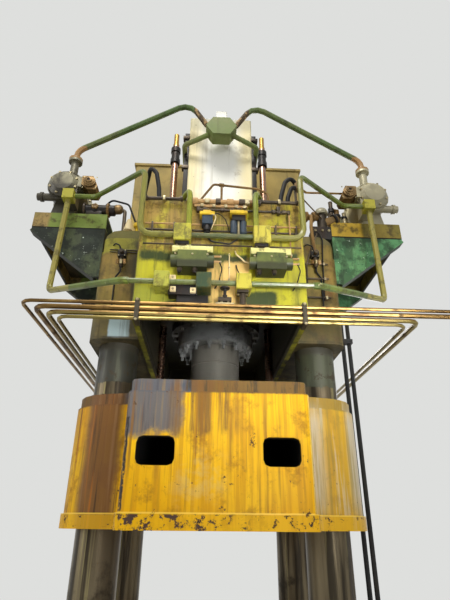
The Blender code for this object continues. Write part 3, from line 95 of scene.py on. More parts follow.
class Finish:
    """A surface built up in layers of colour, each laid on through a mask."""

    def __init__(self, name, colour, rough=0.5, metal=0.0, bump=0.25, coat=0.0):
        self.material = bpy.data.materials.new(name)
        self.material.use_nodes = True
        self.tree = self.material.node_tree
        self.tree.nodes.clear()
        self.shader = self.new("ShaderNodeBsdfPrincipled")
        self.new("ShaderNodeOutputMaterial", self.shader.outputs[0])
        self.shader.inputs["Coat Weight"].default_value = coat
        self.shader.inputs["Coat Roughness"].default_value = 0.18
        self.shader.inputs["Specular IOR Level"].default_value = 0.5 if metal else 0.2
        self.place = self.new("ShaderNodeTexCoord").outputs["Object"]
        split = self.new("ShaderNodeSeparateXYZ", self.place)
        self.axes = dict(zip("xyz", split.outputs))
        self.axes["out"] = self.math("ABSOLUTE", split.outputs[0])
        self.colour = tone(colour)
        self.rough = self.sum(rough, self.times(self.noise(7.0, 4), 0.14))
        self.metal = metal
        self.bump = bump
        self.relief = self.times(self.noise(38.0, 6, 0.62), 0.25)

    def new(self, kind, *sources, **settings):
        return new_node(self.tree, kind, *sources, **settings)

    def math(self, kind, *sources):
        return self.new("ShaderNodeMath", *sources, operation=kind).outputs[0]

    def times(self, *factors):
        """The product of the factors that aren't None."""
        product, *others = [factor for factor in factors if factor is not None]
        for other in others:
            product = self.math("MULTIPLY", product, other)
        return product

    def sum(self, a, b):
        return self.math("ADD", a, b)

    def most(self, a, b):
        return self.math("MAXIMUM", a, b)

    def noise(self, scale, detail=5, rough=0.55, stretch=(1.0, 1.0, 1.0), shift=0.0):
        place = self.new("ShaderNodeMapping", self.place, (shift, shift * 0.7, shift * 1.3), None, stretch)
        return self.new("ShaderNodeTexNoise", place.outputs[0], None, scale, detail, rough).outputs[0]

    def ramp(self, value, low, high):
        """0 below low, 1 above high and smooth between them. Low above high turns it round."""
        ends = (1.0, 0.0) if low > high else (0.0, 1.0)
        limits = sorted((low, high))
        return self.new("ShaderNodeMapRange", value, *limits, *ends, interpolation_type="SMOOTHSTEP").outputs[0]

    def band(self, axis, low, high, soft=0.01, ragged=0.0, scale=3.0):
        """1 between low and high along an axis, with a soft and, if asked, a ragged edge."""
        value = self.axes[axis]
        if ragged:
            wave = self.math("SUBTRACT", self.noise(scale, 6, 0.7, shift=3.1), 0.5)
            value = self.sum(value, self.times(wave, ragged * 2.0))
        return self.times(None if low is None else self.ramp(value, low - soft, low + soft),
                          None if high is None else self.ramp(value, high + soft, high - soft))

    def area(self, x=None, y=None, z=None, soft=0.01, ragged=0.0, scale=3.0):
        """1 inside a box given by ranges along the axes."""
        return self.times(*(limits and self.band(axis, *limits, soft, ragged, scale)
                            for axis, limits in (("x", x), ("y", y), ("z", z))))

    def layer(self, mask, colour, amount=1.0, rough=None, metal=None, relief=None):
        """A colour laid on through a mask, with a roughness, metal and relief of its own where they are given."""
        if amount != 1.0:
            mask = self.times(mask, amount)
        node = self.new("ShaderNodeMix", data_type="RGBA")
        for socket, source in ((0, mask), (6, self.colour), (7, tone(colour))):
            join(self.tree, source, node.inputs[socket])
        self.colour = node.outputs[2]
        if rough is not None:
            self.rough = self.blend(mask, self.rough, rough)
        if metal is not None:
            self.metal = self.blend(mask, self.metal, metal)
        if relief is not None:
            self.relief = self.sum(self.relief, self.times(mask, relief))

    def blend(self, mask, a, b):
        return self.new("ShaderNodeMix", mask, None, a, b, data_type="FLOAT").outputs[0]

    def vary(self, colour, scale=1.3, low=0.38, high=0.66, amount=1.0, shift=0.0, stretch=(1.0, 1.0, 1.0)):
        """A second tone in large soft patches."""
        self.layer(self.ramp(self.noise(scale, 5, 0.6, stretch, shift), low, high), colour, amount)

    def streaks(self, colour, amount=0.6, low=0.5, high=0.66, scale=7.0, run=0.06, where=None, shift=5.0):
        """Thin runs down the surface."""
        mask = self.ramp(self.noise(scale, 6, 0.6, (1.0, 1.0, run), shift), low, high)
        self.layer(self.times(mask, where), colour, amount, relief=0.15)

    def blotches(self, colour, amount=0.6, low=0.52, high=0.7, scale=2.4, rough=0.62, where=None, shift=9.0):
        """Patches with broken edges, of dirt and oil, and under the crown of painted shade."""
        mask = self.ramp(self.noise(scale, 9, 0.68, shift=shift), low, high)
        self.layer(self.times(mask, where), colour, amount, rough, relief=0.2)

    def chips(self, colour, low=0.655, high=0.675, scale=14.0, where=None, metal=0.0, shift=2.0):
        """Small places where the paint is off."""
        mask = self.ramp(self.noise(scale, 8, 0.72, shift=shift), low, high)
        self.layer(self.times(mask, where), colour, rough=0.6, metal=metal, relief=-0.6)

    def facing(self):
        """How far the surface faces up, from -1 to 1."""
        normal = self.new("ShaderNodeNewGeometry").outputs["Normal"]
        return self.new("ShaderNodeSeparateXYZ", normal).outputs[2]

    def dust(self, colour, amount=0.5):
        """Dust on what faces up."""
        patchy = self.ramp(self.noise(5.0, 6, 0.65, shift=13.0), 0.3, 0.65)
        self.layer(self.times(self.ramp(self.facing(), 0.45, 0.95), patchy), colour, amount, rough=0.85)

    def done(self):
        bump = self.new("ShaderNodeBump")
        for name, source in (("Strength", self.bump), ("Distance", 0.02), ("Height", self.relief)):
            join(self.tree, source, bump.inputs[name])
        for name, source in (("Base Color", self.colour), ("Roughness", self.rough), ("Metallic", self.metal),
                             ("Normal", bump.outputs[0])):
            join(self.tree, source, self.shader.inputs[name])
        return self.material


DIRT = 0x4A3E28
BLACK_OIL = 0x1E1C18
BARE = 0x585854
DUST = 0x968E76
RUST = 0x704222


def slide_paint():
    f = Finish("slide_ochre", 0xE0A804, 0.4, bump=0.3)
    f.vary(0xE8B608, 1.1, 0.4, 0.64, 0.9)
    f.vary(0xD09608, 0.9, 0.5, 0.7, 0.85, shift=4)
    f.streaks(0xBE840C, 0.6, 0.44, 0.62, 22, 0.03)
    f.streaks(0x966616, 0.6, 0.54, 0.68, 26, 0.03, shift=8)
    f.blotches(0x966614, 0.75, 0.52, 0.66, 3.2)
    f.blotches(0x765622, 0.6, 0.58, 0.7, 5, shift=15)
    front = f.band("y", None, -1.2)
    panel = f.band("x", -PANEL_X, PANEL_X, 0.012)
    high = f.band("z", SLIDE_TOP - 0.5, None, 0.05, 0.22, 2.6)
    # Grey-brown band round the rim, bluer at the left
    rim = f.band("z", SLIDE_TOP - 0.13, None, 0.012, 0.012, 9)
    f.layer(rim, 0x5E482A, 0.92, rough=0.6)
    f.layer(f.times(rim, f.band("x", -1, -0.2, 0.12, 0.15)), 0x445262, 0.92, rough=0.5)
    f.streaks(0x3E3628, 0.8, 0.5, 0.62, 20, 0.15, rim, 3)
    # The worn grey patch under it, and the brown runs to its right
    patch = f.times(f.band("x", -0.92, -0.36, 0.05, 0.16, 2.6), high, f.band("y", None, -2, 0.15, 0.1))
    f.layer(patch, 0x5E5E62, 0.96, rough=0.5)
    f.streaks(0x927A52, 0.6, 0.52, 0.66, 20, 0.05, patch, 21)
    f.streaks(0x423E40, 0.6, 0.5, 0.66, 12, 0.08, patch, 11)
    runs = f.times(f.band("x", -0.44, 0.16, 0.14, 0.16, 2.6), high, front)
    f.streaks(0x705028, 0.9, 0.38, 0.56, 16, 0.04, runs, 6)
    long_runs = f.times(f.band("z", SLIDE_TOP - 0.95, SLIDE_TOP - 0.12, 0.3, 0.2), front, panel)
    f.streaks(0x8C5E1C, 0.75, 0.52, 0.64, 15, 0.03, long_runs, 17)
    # Brown grease on the left cheek, with a yellow strip on each side
    cheek_left = f.times(f.band("x", None, -PANEL_X, 0.02), f.band("y", None, -1.1, 0.05))
    greasy = f.times(cheek_left, f.band("x", -1.4, -1.02, 0.05, 0.05, 2))
    f.layer(greasy, 0x6E4A26, 0.95, rough=0.45)
    f.streaks(0x8C6842, 0.6, 0.5, 0.64, 14, 0.04, greasy, 4.4)
    f.streaks(0x3C2A1C, 0.8, 0.54, 0.66, 20, 0.03, cheek_left, 9.4)
    f.streaks(0xA86214, 0.8, 0.54, 0.64, 18, 0.02, cheek_left, 13.4)
    # Right cheek: a paler golden tone, a painted grey-white reflection near its inner edge and at its right edge, and
    # pale streaks, part grease and part painted reflection
    cheek_right = f.times(f.band("x", PANEL_X, None, 0.02), f.band("y", None, -1, 0.05))
    f.layer(cheek_right, 0xC09E3E, 0.55, rough=0.34)
    sheen = f.times(cheek_right, f.most(f.band("x", None, 1.13, 0.08, 0.04), f.band("x", 1.44, None, 0.05)))
    f.layer(f.times(sheen, f.band("z", SLIDE_Z + 0.2, SLIDE_TOP - 0.14, 0.2, 0.1)), 0xC4C2B4, 0.6, rough=0.3)
    f.streaks(0x96803E, 0.6, 0.5, 0.64, 18, 0.05, cheek_right, 12.2)
    f.streaks(0xCEC8B2, 0.45, 0.54, 0.66, 22, 0.04, cheek_right, 2.2)
    # A painted highlight: a pale glossy patch low on the panel
    painted_highlight_patch = f.times(front, f.area(x=(-0.42, 0.02), z=(SLIDE_Z + 0.22, SLIDE_Z + 0.62), soft=0.1, ragged=0.16))
    f.layer(f.times(painted_highlight_patch, f.ramp(f.noise(5, 7, 0.65, shift=31), 0.44, 0.62)), 0xC8B276, 0.35, rough=0.3)
    # Chipped line down the panel's left corner, a painted highlight down its right corner, pits along the flange, and
    # a painted highlight along the flange's top edge
    corner = f.area(x=(-0.91, -0.852), z=(2.8, 3.62), soft=0.008, ragged=0.016, scale=9)
    edge = f.band("y", None, -2.215, 0.02, 0.03, 8)
    f.chips(0x322E2C, 0.41, 0.46, 13, f.times(corner, edge))
    # Painted highlight: a pale line down the panel's right corner
    pale = f.area(x=(0.868, 0.905), z=(2.8, 3.86), soft=0.006, ragged=0.01, scale=9)
    f.layer(f.times(pale, edge), 0xF0D66E, 0.7, rough=0.35)
    flange = f.times(f.area(z=(None, SLIDE_Z + 0.13)), front)
    f.layer(flange, 0xE2AC08, 0.6)
    f.chips(0x422E20, 0.585, 0.62, 13, flange, shift=4)
    f.chips(0x4A362C, 0.53, 0.57, 12, f.times(flange, f.band("x", -0.95, 0.25, 0.1)), shift=14)
    # Painted highlight: a bright line along the top edge of the flange
    f.layer(f.times(front, f.band("z", SLIDE_Z + 0.132, SLIDE_Z + 0.146, 0.004, 0.003, 9)), 0xFAD454, 0.8, rough=0.25)
    f.chips(0x3C2E22, 0.635, 0.66, 15, f.times(front, f.band("z", None, SLIDE_Z + 0.62, 0.1)))
    f.chips(0x583E22, 0.64, 0.67, 8, f.times(front, panel), shift=6)
    # Painted shade: near-black on the casting's inside faces behind the windows
    inside = f.area(x=(-0.8, 0.8), y=(-2.262, 2.262), z=(SLIDE_Z + 0.15, SLIDE_TOP - 0.16), soft=0.004)
    f.layer(inside, 0x1A1A18, rough=0.8)
    f.dust(0x60563E, 0.8)
    return f


def crown_paint():
    f = Finish("crown_lime", 0xAEA822, 0.44, bump=0.28)
    f.vary(0xBEB630, 0.9, 0.4, 0.64, 0.85)
    f.vary(0x9E9834, 1.3, 0.5, 0.72, 0.8, shift=5)
    front = f.band("y", None, -2.1, 0.02)
    face = f.times(front, f.band("x", -0.96, 0.96, 0.02))
    f.streaks(0x8C863A, 0.55, 0.48, 0.66, 6, 0.07)
    sides = f.band("y", -2.1, None, 0.02)
    f.blotches(0x686232, 0.85, 0.46, 0.62, 1.6, where=sides, shift=33)
    f.streaks(0x463E26, 0.8, 0.52, 0.66, 5, 0.06, sides, 35)
    # Tan worn upper part of the face, browner to the top
    upper = f.times(face, f.band("z", 5.46, None, 0.05, 0.06, 4))
    f.layer(f.times(upper, f.ramp(f.noise(3.2, 7, 0.62, (1, 1, 0.35), 3), 0.34, 0.56)), 0xA48642)
    f.streaks(0x78643A, 0.7, 0.5, 0.64, 9, 0.08, upper, 2)
    f.streaks(0xCEC03C, 0.6, 0.55, 0.66, 8, 0.08, upper, 12)
    # Peach undercoat between the valves
    bare = f.times(face, f.area(x=(-0.16, 0.31), z=(4.72, 5.4), soft=0.02, ragged=0.05, scale=7))
    f.layer(bare, 0xD8B26C, 0.9, rough=0.6)
    low = f.times(face, f.band("z", None, 5.05, 0.05, 0.05))
    f.layer(f.times(low, f.ramp(f.noise(2.2, 6, 0.6, shift=8), 0.5, 0.62)), 0x707C3C, 0.5)
    f.blotches(0x4E522C, 0.7, 0.56, 0.7, 3.4, where=face)
    f.blotches(0x705C32, 0.8, 0.5, 0.64, 6, where=upper, shift=16)
    # Painted shadows: green-black patches below the blocks and valves
    for x, z in (((-0.92, -0.54), (5.33, 5.46)), ((0.6, 0.88), (5.38, 5.49)), ((0.26, 0.6), (4.72, 4.97)),
            ((-0.58, -0.12), (4.72, 4.86)), ((-0.16, 0.3), (5.34, 5.44)), ((-0.3, -0.14), (4.84, 5.1))):
        painted_shadow = f.times(face, f.area(x=x, z=z, soft=0.03, ragged=0.07, scale=5))
        f.layer(painted_shadow, 0x323E26, 0.96, rough=0.45)
    f.blotches(0x76602C, 0.7, 0.5, 0.62, 13, where=upper, shift=23)
    f.streaks(0x545828, 0.6, 0.54, 0.66, 16, 0.1, face, 26)
    # Olive brown ears
    right_ear = f.band("x", EAR_X, None, 0.02)
    ears = f.most(f.band("x", None, -EAR_X, 0.02), right_ear)
    f.layer(ears, 0x746234, 0.92, rough=0.55)
    f.streaks(0x967A3E, 0.7, 0.48, 0.62, 4, 0.12, ears, 14)
    f.blotches(0x4E442A, 0.85, 0.44, 0.62, 2.6, where=ears, shift=2)
    f.blotches(0x684228, 0.6, 0.54, 0.66, 4.2, where=right_ear, shift=12)
    f.vary(0xA68C52, 2.4, 0.58, 0.72, 0.4, 7)
    left_top = f.area(x=(None, -EAR_X), z=(5.93, None), soft=0.03, ragged=0.03)
    f.layer(left_top, 0x928E36, 0.85)
    f.blotches(0x545028, 0.7, 0.5, 0.64, 5, where=left_top, shift=19)
    # Painted shade: dark on the left ear beside the face
    beside = f.times(f.area(x=(-1.13, -0.955), z=(4.76, 6.1), soft=0.03, ragged=0.04, scale=6),
        f.band("y", None, -1.2))
    f.layer(beside, 0x3A3626, 0.75, rough=0.6)
    foot = f.times(ears, f.band("z", None, 4.98, 0.05, 0.08))
    f.layer(foot, 0x484634, 0.55, rough=0.5)
    # Painted reflection: a pale blue-grey patch low on the left ear's front
    pale = f.area(x=(-1.345, -1.09), y=(None, -1.4), z=(4.73, 4.985), soft=0.012, ragged=0.02, scale=9)
    f.layer(pale, 0x9EB2B6, 0.85, rough=0.4)
    f.streaks(0x423824, 0.7, 0.56, 0.7, 7, 0.06, ears, 3)
    f.chips(0x5C462C, 0.66, 0.68, 12)
    # Painted shade: near-black in the open well, and dark patches over the crown's underside
    well = f.area(x=(-0.89, 0.89), y=(-2.235, 2.235), z=(None, 5.47), soft=0.004)
    f.layer(well, 0x2E2A22, 0.96, rough=0.45)
    under = f.times(f.band("z", None, 4.745, 0.006), 0.7)
    f.blotches(0x2C2820, 1, 0.3, 0.6, 3, where=under)
    deck = f.times(f.band("z", DECK_Z - 0.012, None, 0.004), 0.75)
    f.layer(deck, 0x625C3E, rough=0.75)
    f.dust(DUST, 0.6)
    return f


def plain_paint(name, colour, other, rough=0.42, dirt=DIRT, amount=0.5, run=0.5, chip=None, bump=0.2, dust=0.4,
        coat=0):
    """Paint of one colour with a second tone, runs, grime, chips and dust."""
    f = Finish(name, colour, rough, bump=bump, coat=coat)
    f.vary(other, 1.7, 0.4, 0.66, 0.9)
    f.streaks(dirt, run, 0.52, 0.7, 7, 0.08)
    f.blotches(dirt, amount, 0.54, 0.72, 3)
    if chip is not None:
        f.chips(chip, 0.655, 0.68, 13)
    f.dust(DUST, dust)
    return f


def metal(name, colour, other, rough=0.32, dirt=BLACK_OIL, amount=0.5, shine=0.9, bump=0.12, dust=0.3,
        stretch=(1, 1, 1)):
    """Bare metal with oil and tarnish."""
    f = Finish(name, colour, rough, shine, bump)
    f.vary(other, 2.2, 0.38, 0.66, 0.9, stretch=stretch)
    f.blotches(dirt, amount, 0.5, 0.7, 4, rough=0.5)
    f.dust(DUST, dust)
    return f


def column_steel():
    f = Finish("column_steel", 0x786C54, 0.28, 0.75, 0.1)
    f.vary(0x544836, 3, 0.38, 0.6, 0.9, stretch=(1, 1, 0.1))
    f.streaks(0x262018, 0.85, 0.46, 0.62, 9, 0.04)
    # Painted reflections: thin pale lines down the polished steel
    f.streaks(0xA89C6A, 0.7, 0.58, 0.68, 14, 0.02, shift=11)
    f.blotches(0x28221A, 0.7, 0.56, 0.7, 2)
    painted = f.band("z", 4.22, 4.75, 0.012, 0.1, 5)
    f.layer(painted, 0x3C402E, 0.92, rough=0.45, metal=0)
    # Painted shade: the painted band darker on the left-hand columns
    f.layer(f.times(painted, f.band("x", None, 0)), 0x2E2C24, 0.85)
    f.streaks(0x545642, 0.7, 0.48, 0.62, 6, 0.1, painted, 15)
    f.chips(0x463E30, 0.56, 0.6, 8, painted, 0.5)
    f.layer(f.band("z", 4.62, 4.75, 0.03, 0.02), 0x3C382C, rough=0.6, metal=0.1)
    f.layer(f.band("z", None, 1.35, 0.05), 0x322C22, 0.6, rough=0.6)
    return f


def tank_paint():
    f = Finish("tank_cream", 0xFDFBF0, 0.4, bump=0.15)
    f.vary(0xFFFCF2, 0.8, 0.4, 0.64, 0.8)
    f.vary(0xD8CEA2, 0.7, 0.52, 0.7, 0.7, 5)
    low = f.band("z", TANK_LOW.z, TANK_LOW.z + 0.95, 0.25, 0.2, 1.5)
    f.layer(f.times(low, f.ramp(f.noise(1.6, 6, 0.6, shift=2.5), 0.34, 0.52)), 0xD8B868)
    # Cream-yellow toward both sides; the near-white middle between them is a painted highlight
    f.layer(f.band("out", 0.3, None, 0.14, 0.12), 0xF8E4A0, 0.75)
    f.streaks(0x96885C, 0.5, 0.54, 0.7, 5, 0.06)
    f.streaks(0x6E5C36, 0.5, 0.62, 0.72, 9, 0.05, shift=2)
    f.blotches(0x8C7646, 0.5, 0.6, 0.74, 2.2)
    # Painted shade: darker across the top of the tank
    f.layer(f.band("z", TANK_HIGH.z - 0.3, None, 0.12, 0.1), 0xA09E84, 0.55)
    f.chips(0x624E32, 0.67, 0.69, 14)
    f.dust(DUST, 0.7)
    return f


def pump_metal():
    f = Finish("pump_grey", 0xBEB896, 0.36, 0.3, 0.16)
    f.vary(0x8C866E, 3, 0.4, 0.66, 0.9)
    f.blotches(0x3C362A, 0.85, 0.46, 0.62, 4.5)
    f.streaks(0x302C24, 0.7, 0.5, 0.66, 9, 0.2)
    under = f.band("z", None, 7.02, 0.05, 0.06, 6)
    f.layer(under, 0x2C2820, 0.85, rough=0.35, metal=0.2)
    # Painted shade over the left pump and a painted highlight over the right one
    f.layer(f.band("x", None, 0), 0x423C30, 0.5, rough=0.4)
    f.layer(f.band("x", 0, None), 0xE2D8B2, 0.35, rough=0.4)
    f.dust(DUST, 0.5)
    return f


def valve_paint():
    f = Finish("valve_green", 0x626834, 0.36, bump=0.2, coat=0.1)
    f.vary(0x464E2C, 3, 0.42, 0.64, 0.9)
    f.layer(f.band("z", 5.352, None, 0.004), 0xD0C880, rough=0.32)
    f.layer(f.band("z", None, 5.235, 0.02, 0.015, 9), 0x303024, 0.85, rough=0.35)
    f.blotches(0x343222, 0.7, 0.56, 0.7, 6)
    f.streaks(0x3C3824, 0.6, 0.56, 0.7, 14, 0.2)
    f.chips(BARE, 0.66, 0.68, 22, None, 0.6)
    return f


def platform_paint(name, colour, other, inner, inner_x, gusset, gusset_darkening):
    """The platform's band in two tones, the gusset under it with dark runs and patches, and painted shade on what
    faces down, under its braces.
    """
    f = plain_paint(name, colour, other, 0.45, 0x322E20, 0.7, 0.6, 0x503C28)
    f.layer(f.band("out", None, inner_x, 0.03, 0.06), inner, 0.9)
    f.blotches(0x463A24, 0.8, 0.48, 0.62, 6, shift=14)
    low = f.band("z", None, 6.385, 0.006, 0.006, 6)
    f.layer(low, gusset, 0.92)
    f.streaks(0x283026, gusset_darkening, 0.46, 0.58, 5, 0.3, low, 24)
    f.blotches(0x1E221C, gusset_darkening, 0.45, 0.56, 3.4, where=low, shift=4)
    f.chips(0xC4CEBE, 0.645, 0.665, 16, low, shift=27)
    f.layer(f.band("z", 6.376, 6.394, 0.003, 0.004, 9), 0x1A1A16)
    # Painted shade: darker on what faces down
    f.layer(f.ramp(f.facing(), -0.25, -0.5), 0x26261E, 0.85, rough=0.6)
    return f


def copper():
    f = Finish("copper_pipes", 0x8A6C38, 0.26, 0.8, 0.08)
    f.vary(0x624A26, 4, 0.4, 0.62, 0.9, stretch=(0.3, 1, 1))
    f.vary(0xAC925C, 3, 0.54, 0.7, 0.7, shift=6, stretch=(0.3, 1, 1))
    f.layer(f.band("z", None, 4.618, 0.003), 0x92884E, 0.55)
    f.blotches(0x48321E, 0.7, 0.52, 0.66, 6)
    straps = f.times(f.band("out", CLAMP_X - 0.026, CLAMP_X + 0.026, 0.001), f.band("y", None, FACE_Y + 0.01))
    f.layer(straps, 0x3E3626, rough=0.5, metal=0.3)
    return f


def arc_paint():
    f = plain_paint("arc_green", 0x526838, 0x687044, 0.32, 0x2C2A1C, 0.6, chip=BARE, coat=0.1)
    ends = f.times(f.area(z=(None, 7.84), soft=0.01, ragged=0.01), f.band("out", 2.03, None))
    f.layer(ends, 0xA88052, 0.9, rough=0.4)
    f.layer(f.band("out", None, 0.44, 0.01, 0.02), 0x4A3626, 0.9, rough=0.45)
    f.streaks(0xC4A06E, 0.7, 0.52, 0.64, 14, 0.5, f.band("out", None, 0.44), 8)
    return f


def delivery_paint():
    """Green on the line over the deck, yellow-green on the tee and tan on the line down."""
    f = plain_paint("delivery_green", 0x6C7A32, 0x52622A, 0.24, 0x423E22, 0.5, 0.4, 0xCEC896, coat=0.2)
    f.layer(f.area(z=(5.4, 6.44), soft=0.02), 0x9C8C46, 0.5)
    f.layer(f.times(f.band("out", 1.78, None), f.band("z", None, 6.7)), 0x968A42, 0.85)
    f.layer(f.times(f.area(z=(6.7, 6.86)), f.band("out", 2.015, 2.185)), 0xACA43E)
    f.blotches(0x463C22, 0.6, 0.52, 0.64, 7, shift=18)
    return f


def header_paint(name, pipe, blocks, half):
    """A header pipe with its blocks, each in its own colour."""
    f = plain_paint(name, pipe, 0x707444, 0.22, 0x3A3622, 0.6, 0.4, 0xCCC69C, coat=0.25)
    for x, colour in blocks:
        f.layer(f.area(x=(x - half, x + half), soft=0.001), colour, rough=0.38)
    f.blotches(0x60582A, 0.7, 0.5, 0.64, 7, shift=21)
    f.streaks(0x544E28, 0.6, 0.52, 0.64, 16, 0.2, shift=25)
    return f


FINISHES = {key: finish.done() for key, finish in {
    "slide": slide_paint(), "crown": crown_paint(), "prefill_tank": tank_paint(), "column": column_steel(),
    "pump": pump_metal(), "spool_valve": valve_paint(), "copper": copper(), "arc_pipe": arc_paint(),
    "delivery_pipe": delivery_paint(),
    "pump_platform_left": platform_paint("platform_left", 0x98804E, 0x847842, 0x70843A, 2.38, 0x3E4432, 0.9),
    "pump_platform_right": platform_paint("platform_right", 0x7A6E32, 0x867432, 0xBC9A34, 2.04, 0x589262, 0.62),
    "upper_header": header_paint("upper_header", 0x545C38, ((-0.44, 0xB0A838), (0.44, 0xBEB046)), 0.097),
    "lower_header": header_paint("lower_header", 0x626E38, ((-0.63, 0xA09E3E), (-0.19, 0x32422C), (0.23, 0xB2A63E)),
                                 0.082),
    "oil_reservoir": plain_paint("reservoir_olive", 0xAC9454, 0x907E4A, 0.5, run=0.7, chip=RUST),
    "bed": plain_paint("bed_olive", 0x706C3A, 0x5A5834, 0.5, BLACK_OIL, 0.7, 0.6, 0x544634),
    "bolster_plate": metal("bolster_steel", 0x80786A, 0x60584C, 0.34, 0x3C2E20, 0.6),
    "main_ram": metal("ram_chrome", 0x868278, 0x706C62, 0.24, 0x605848, 0.35, 0.45, 0.03, 0, (1, 1, 0.15)),
    "pullback_rod": metal("rod_chrome", 0xA68470, 0x886856, 0.2, 0x5C4A34, 0.4, 1, 0.03, 0, (1, 1, 0.15)),
    "cast": metal("cast_oily", 0x848076, 0x5C5850, 0.36, BLACK_OIL, 0.8, 0.45, 0.25),
    "gland_ring": metal("gland_steel", 0xA0A2A0, 0x686862, 0.28, 0x282620, 0.75, 0.6, 0.15),
    "black": metal("black_steel", 0x2E2C2A, 0x201E1C, 0.38, 0x402C1C, 0.5, 0.6, 0.15),
    "brass": metal("brass_dull", 0xB08C48, 0x8E6A34, 0.34, 0x46341E),
    "bronze": metal("bronze_cast", 0x8E7248, 0x5C4C30, 0.4, 0x282016, 0.85, 0.6, 0.3),
    "dark": metal("pipe_dark", 0x3E362C, 0x5C4E3C, 0.34, shine=0.6),
    "zinc": metal("zinc_fitting", 0xB8AC88, 0x968868, 0.3, 0x3C3222),
    "side_conduits": plain_paint("conduit_black", 0x222222, 0x303030, 0.36, amount=0.3, run=0.3, dust=0.5),
    "motor": plain_paint("motor_green", 0x68704A, 0x7C7454, 0.5, run=0.4, chip=RUST),
    "pullback_pipe": plain_paint("pipe_lime", 0x909432, 0x707A2A, 0.26, 0x545026, 0.5, 0.5, 0xD2CEA0, coat=0.2),
    "top_manifold": plain_paint("manifold_green", 0x748248, 0x848656, chip=BARE),
    "pullback_cylinder": plain_paint("cylinder_tan", 0x967C54, 0xB09268, 0.34, 0x463222, 0.6, 0.5, 0x604632),
    "ram_packing": plain_paint("packing_dark", 0x1E1E1E, 0x2C2A26, 0.7, amount=0.3, run=0.1, dust=0.1),
    "rubber": plain_paint("hose_rubber", 0x181818, 0x242321, amount=0.3, run=0.2),
    "brown": plain_paint("pipe_brown", 0x70542C, 0x927242, 0.4, run=0.2, dust=0.3),
    "tan": plain_paint("pipe_tan", 0xC49E6A, 0xAA8052, 0.38, 0x5A3E28, 0.6, 0.2, 0x6E503C),
    "yellow": plain_paint("valve_yellow", 0xE0BA30, 0xCEA428, 0.38, run=0.3, chip=RUST),
    "blue": plain_paint("coil_blue", 0x36424E, 0x2A3036, 0.45, amount=0.4, run=0.2),
    "cream": plain_paint("lamp_cream", 0xE2CEA0, 0xCEB480, 0.4, amount=0.4, run=0.3),
}.items()}

# Nodes, without side and corner, whose finish has another name
SHARED_FINISHES = {
    "breather_box": "prefill_tank", "main_cylinder": "cast", "prefill_valve": "cast", "lower_nut": "black",
    "upper_nut": "black", "drive_shaft": "black", "stop_collar": "black", "rod_cap": "brass", "guide_bush": "bronze",
    "control_housing": "bronze", "pipe_bundle": "copper",
}


def rounding():
    """A modifier's node group that welds the facets and shades them smooth up to a small angle."""
    group = bpy.data.node_groups.new("smooth_facets", "GeometryNodeTree")
    group.interface.new_socket("Geometry", in_out="INPUT", socket_type="NodeSocketGeometry")
    group.interface.new_socket("Geometry", in_out="OUTPUT", socket_type="NodeSocketGeometry")
    start = new_node(group, "NodeGroupInput")
    weld = new_node(group, "GeometryNodeMergeByDistance", start.outputs[0])
    weld.inputs["Distance"].default_value = 0.00005
    angle = new_node(group, "GeometryNodeInputMeshEdgeAngle")
    sharp = new_node(group, "ShaderNodeMath", angle.outputs[0], radians(34), operation="GREATER_THAN")
    normals = new_node(group, "GeometryNodeSetMeshNormal", mode="SHARPNESS")
    for name, source in (("Mesh", weld.outputs[0]), ("Remove Custom", True), ("Edge Sharpness", sharp.outputs[0])):
        join(group, source, normals.inputs[name])
    new_node(group, "NodeGroupOutput", normals.outputs[0])
    return group


def dress_nodes():
    """Gives the frame's nodes their finishes and their smooth shading."""
    group = rounding()
    for name, node in nodes.items():
        kind = name
        for end in ("_left", "_right", "_front", "_rear"):
            kind = kind.removesuffix(end)
        for place in node.material_slots:
            place.material = FINISHES[name if name in FINISHES else SHARED_FINISHES.get(kind, kind)]
        node.modifiers.new("smooth", "NODES").node_group = group


dress_nodes()


# Pieces
def turn_to(direction):
    """The rotation that takes +Z to a direction."""
    return Vector((0, 0, 1)).rotation_difference(Vector(direction).normalized()).to_matrix().to_4x4()


def bent(corners, radius, steps=4):
    """The points of a run with each corner rounded."""
    run = [corners[0]]
    for before, corner, after in zip(corners, corners[1:], corners[2:]):
        arriving, leaving = corner - before, after - corner
        reach_limit = min(arriving.length, leaving.length) * 0.48
        arriving.normalize()
        leaving.normalize()
        angle = acos(max(-1.0, min(1.0, arriving.dot(leaving))))
        if angle < 0.02:
            run.append(corner)
            continue
        reach = min(radius * tan(angle / 2), reach_limit)
        round_r = reach / tan(angle / 2)
        centre = corner + (leaving - arriving).normalized() * (round_r / cos(angle / 2))
        axis = arriving.cross(leaving).normalized()
        first = corner - arriving * reach
        for step in range(steps + 1):
            run.append(centre + Quaternion(axis, angle * step / steps) @ (first - centre))
    run.append(corners[-1])
    return run


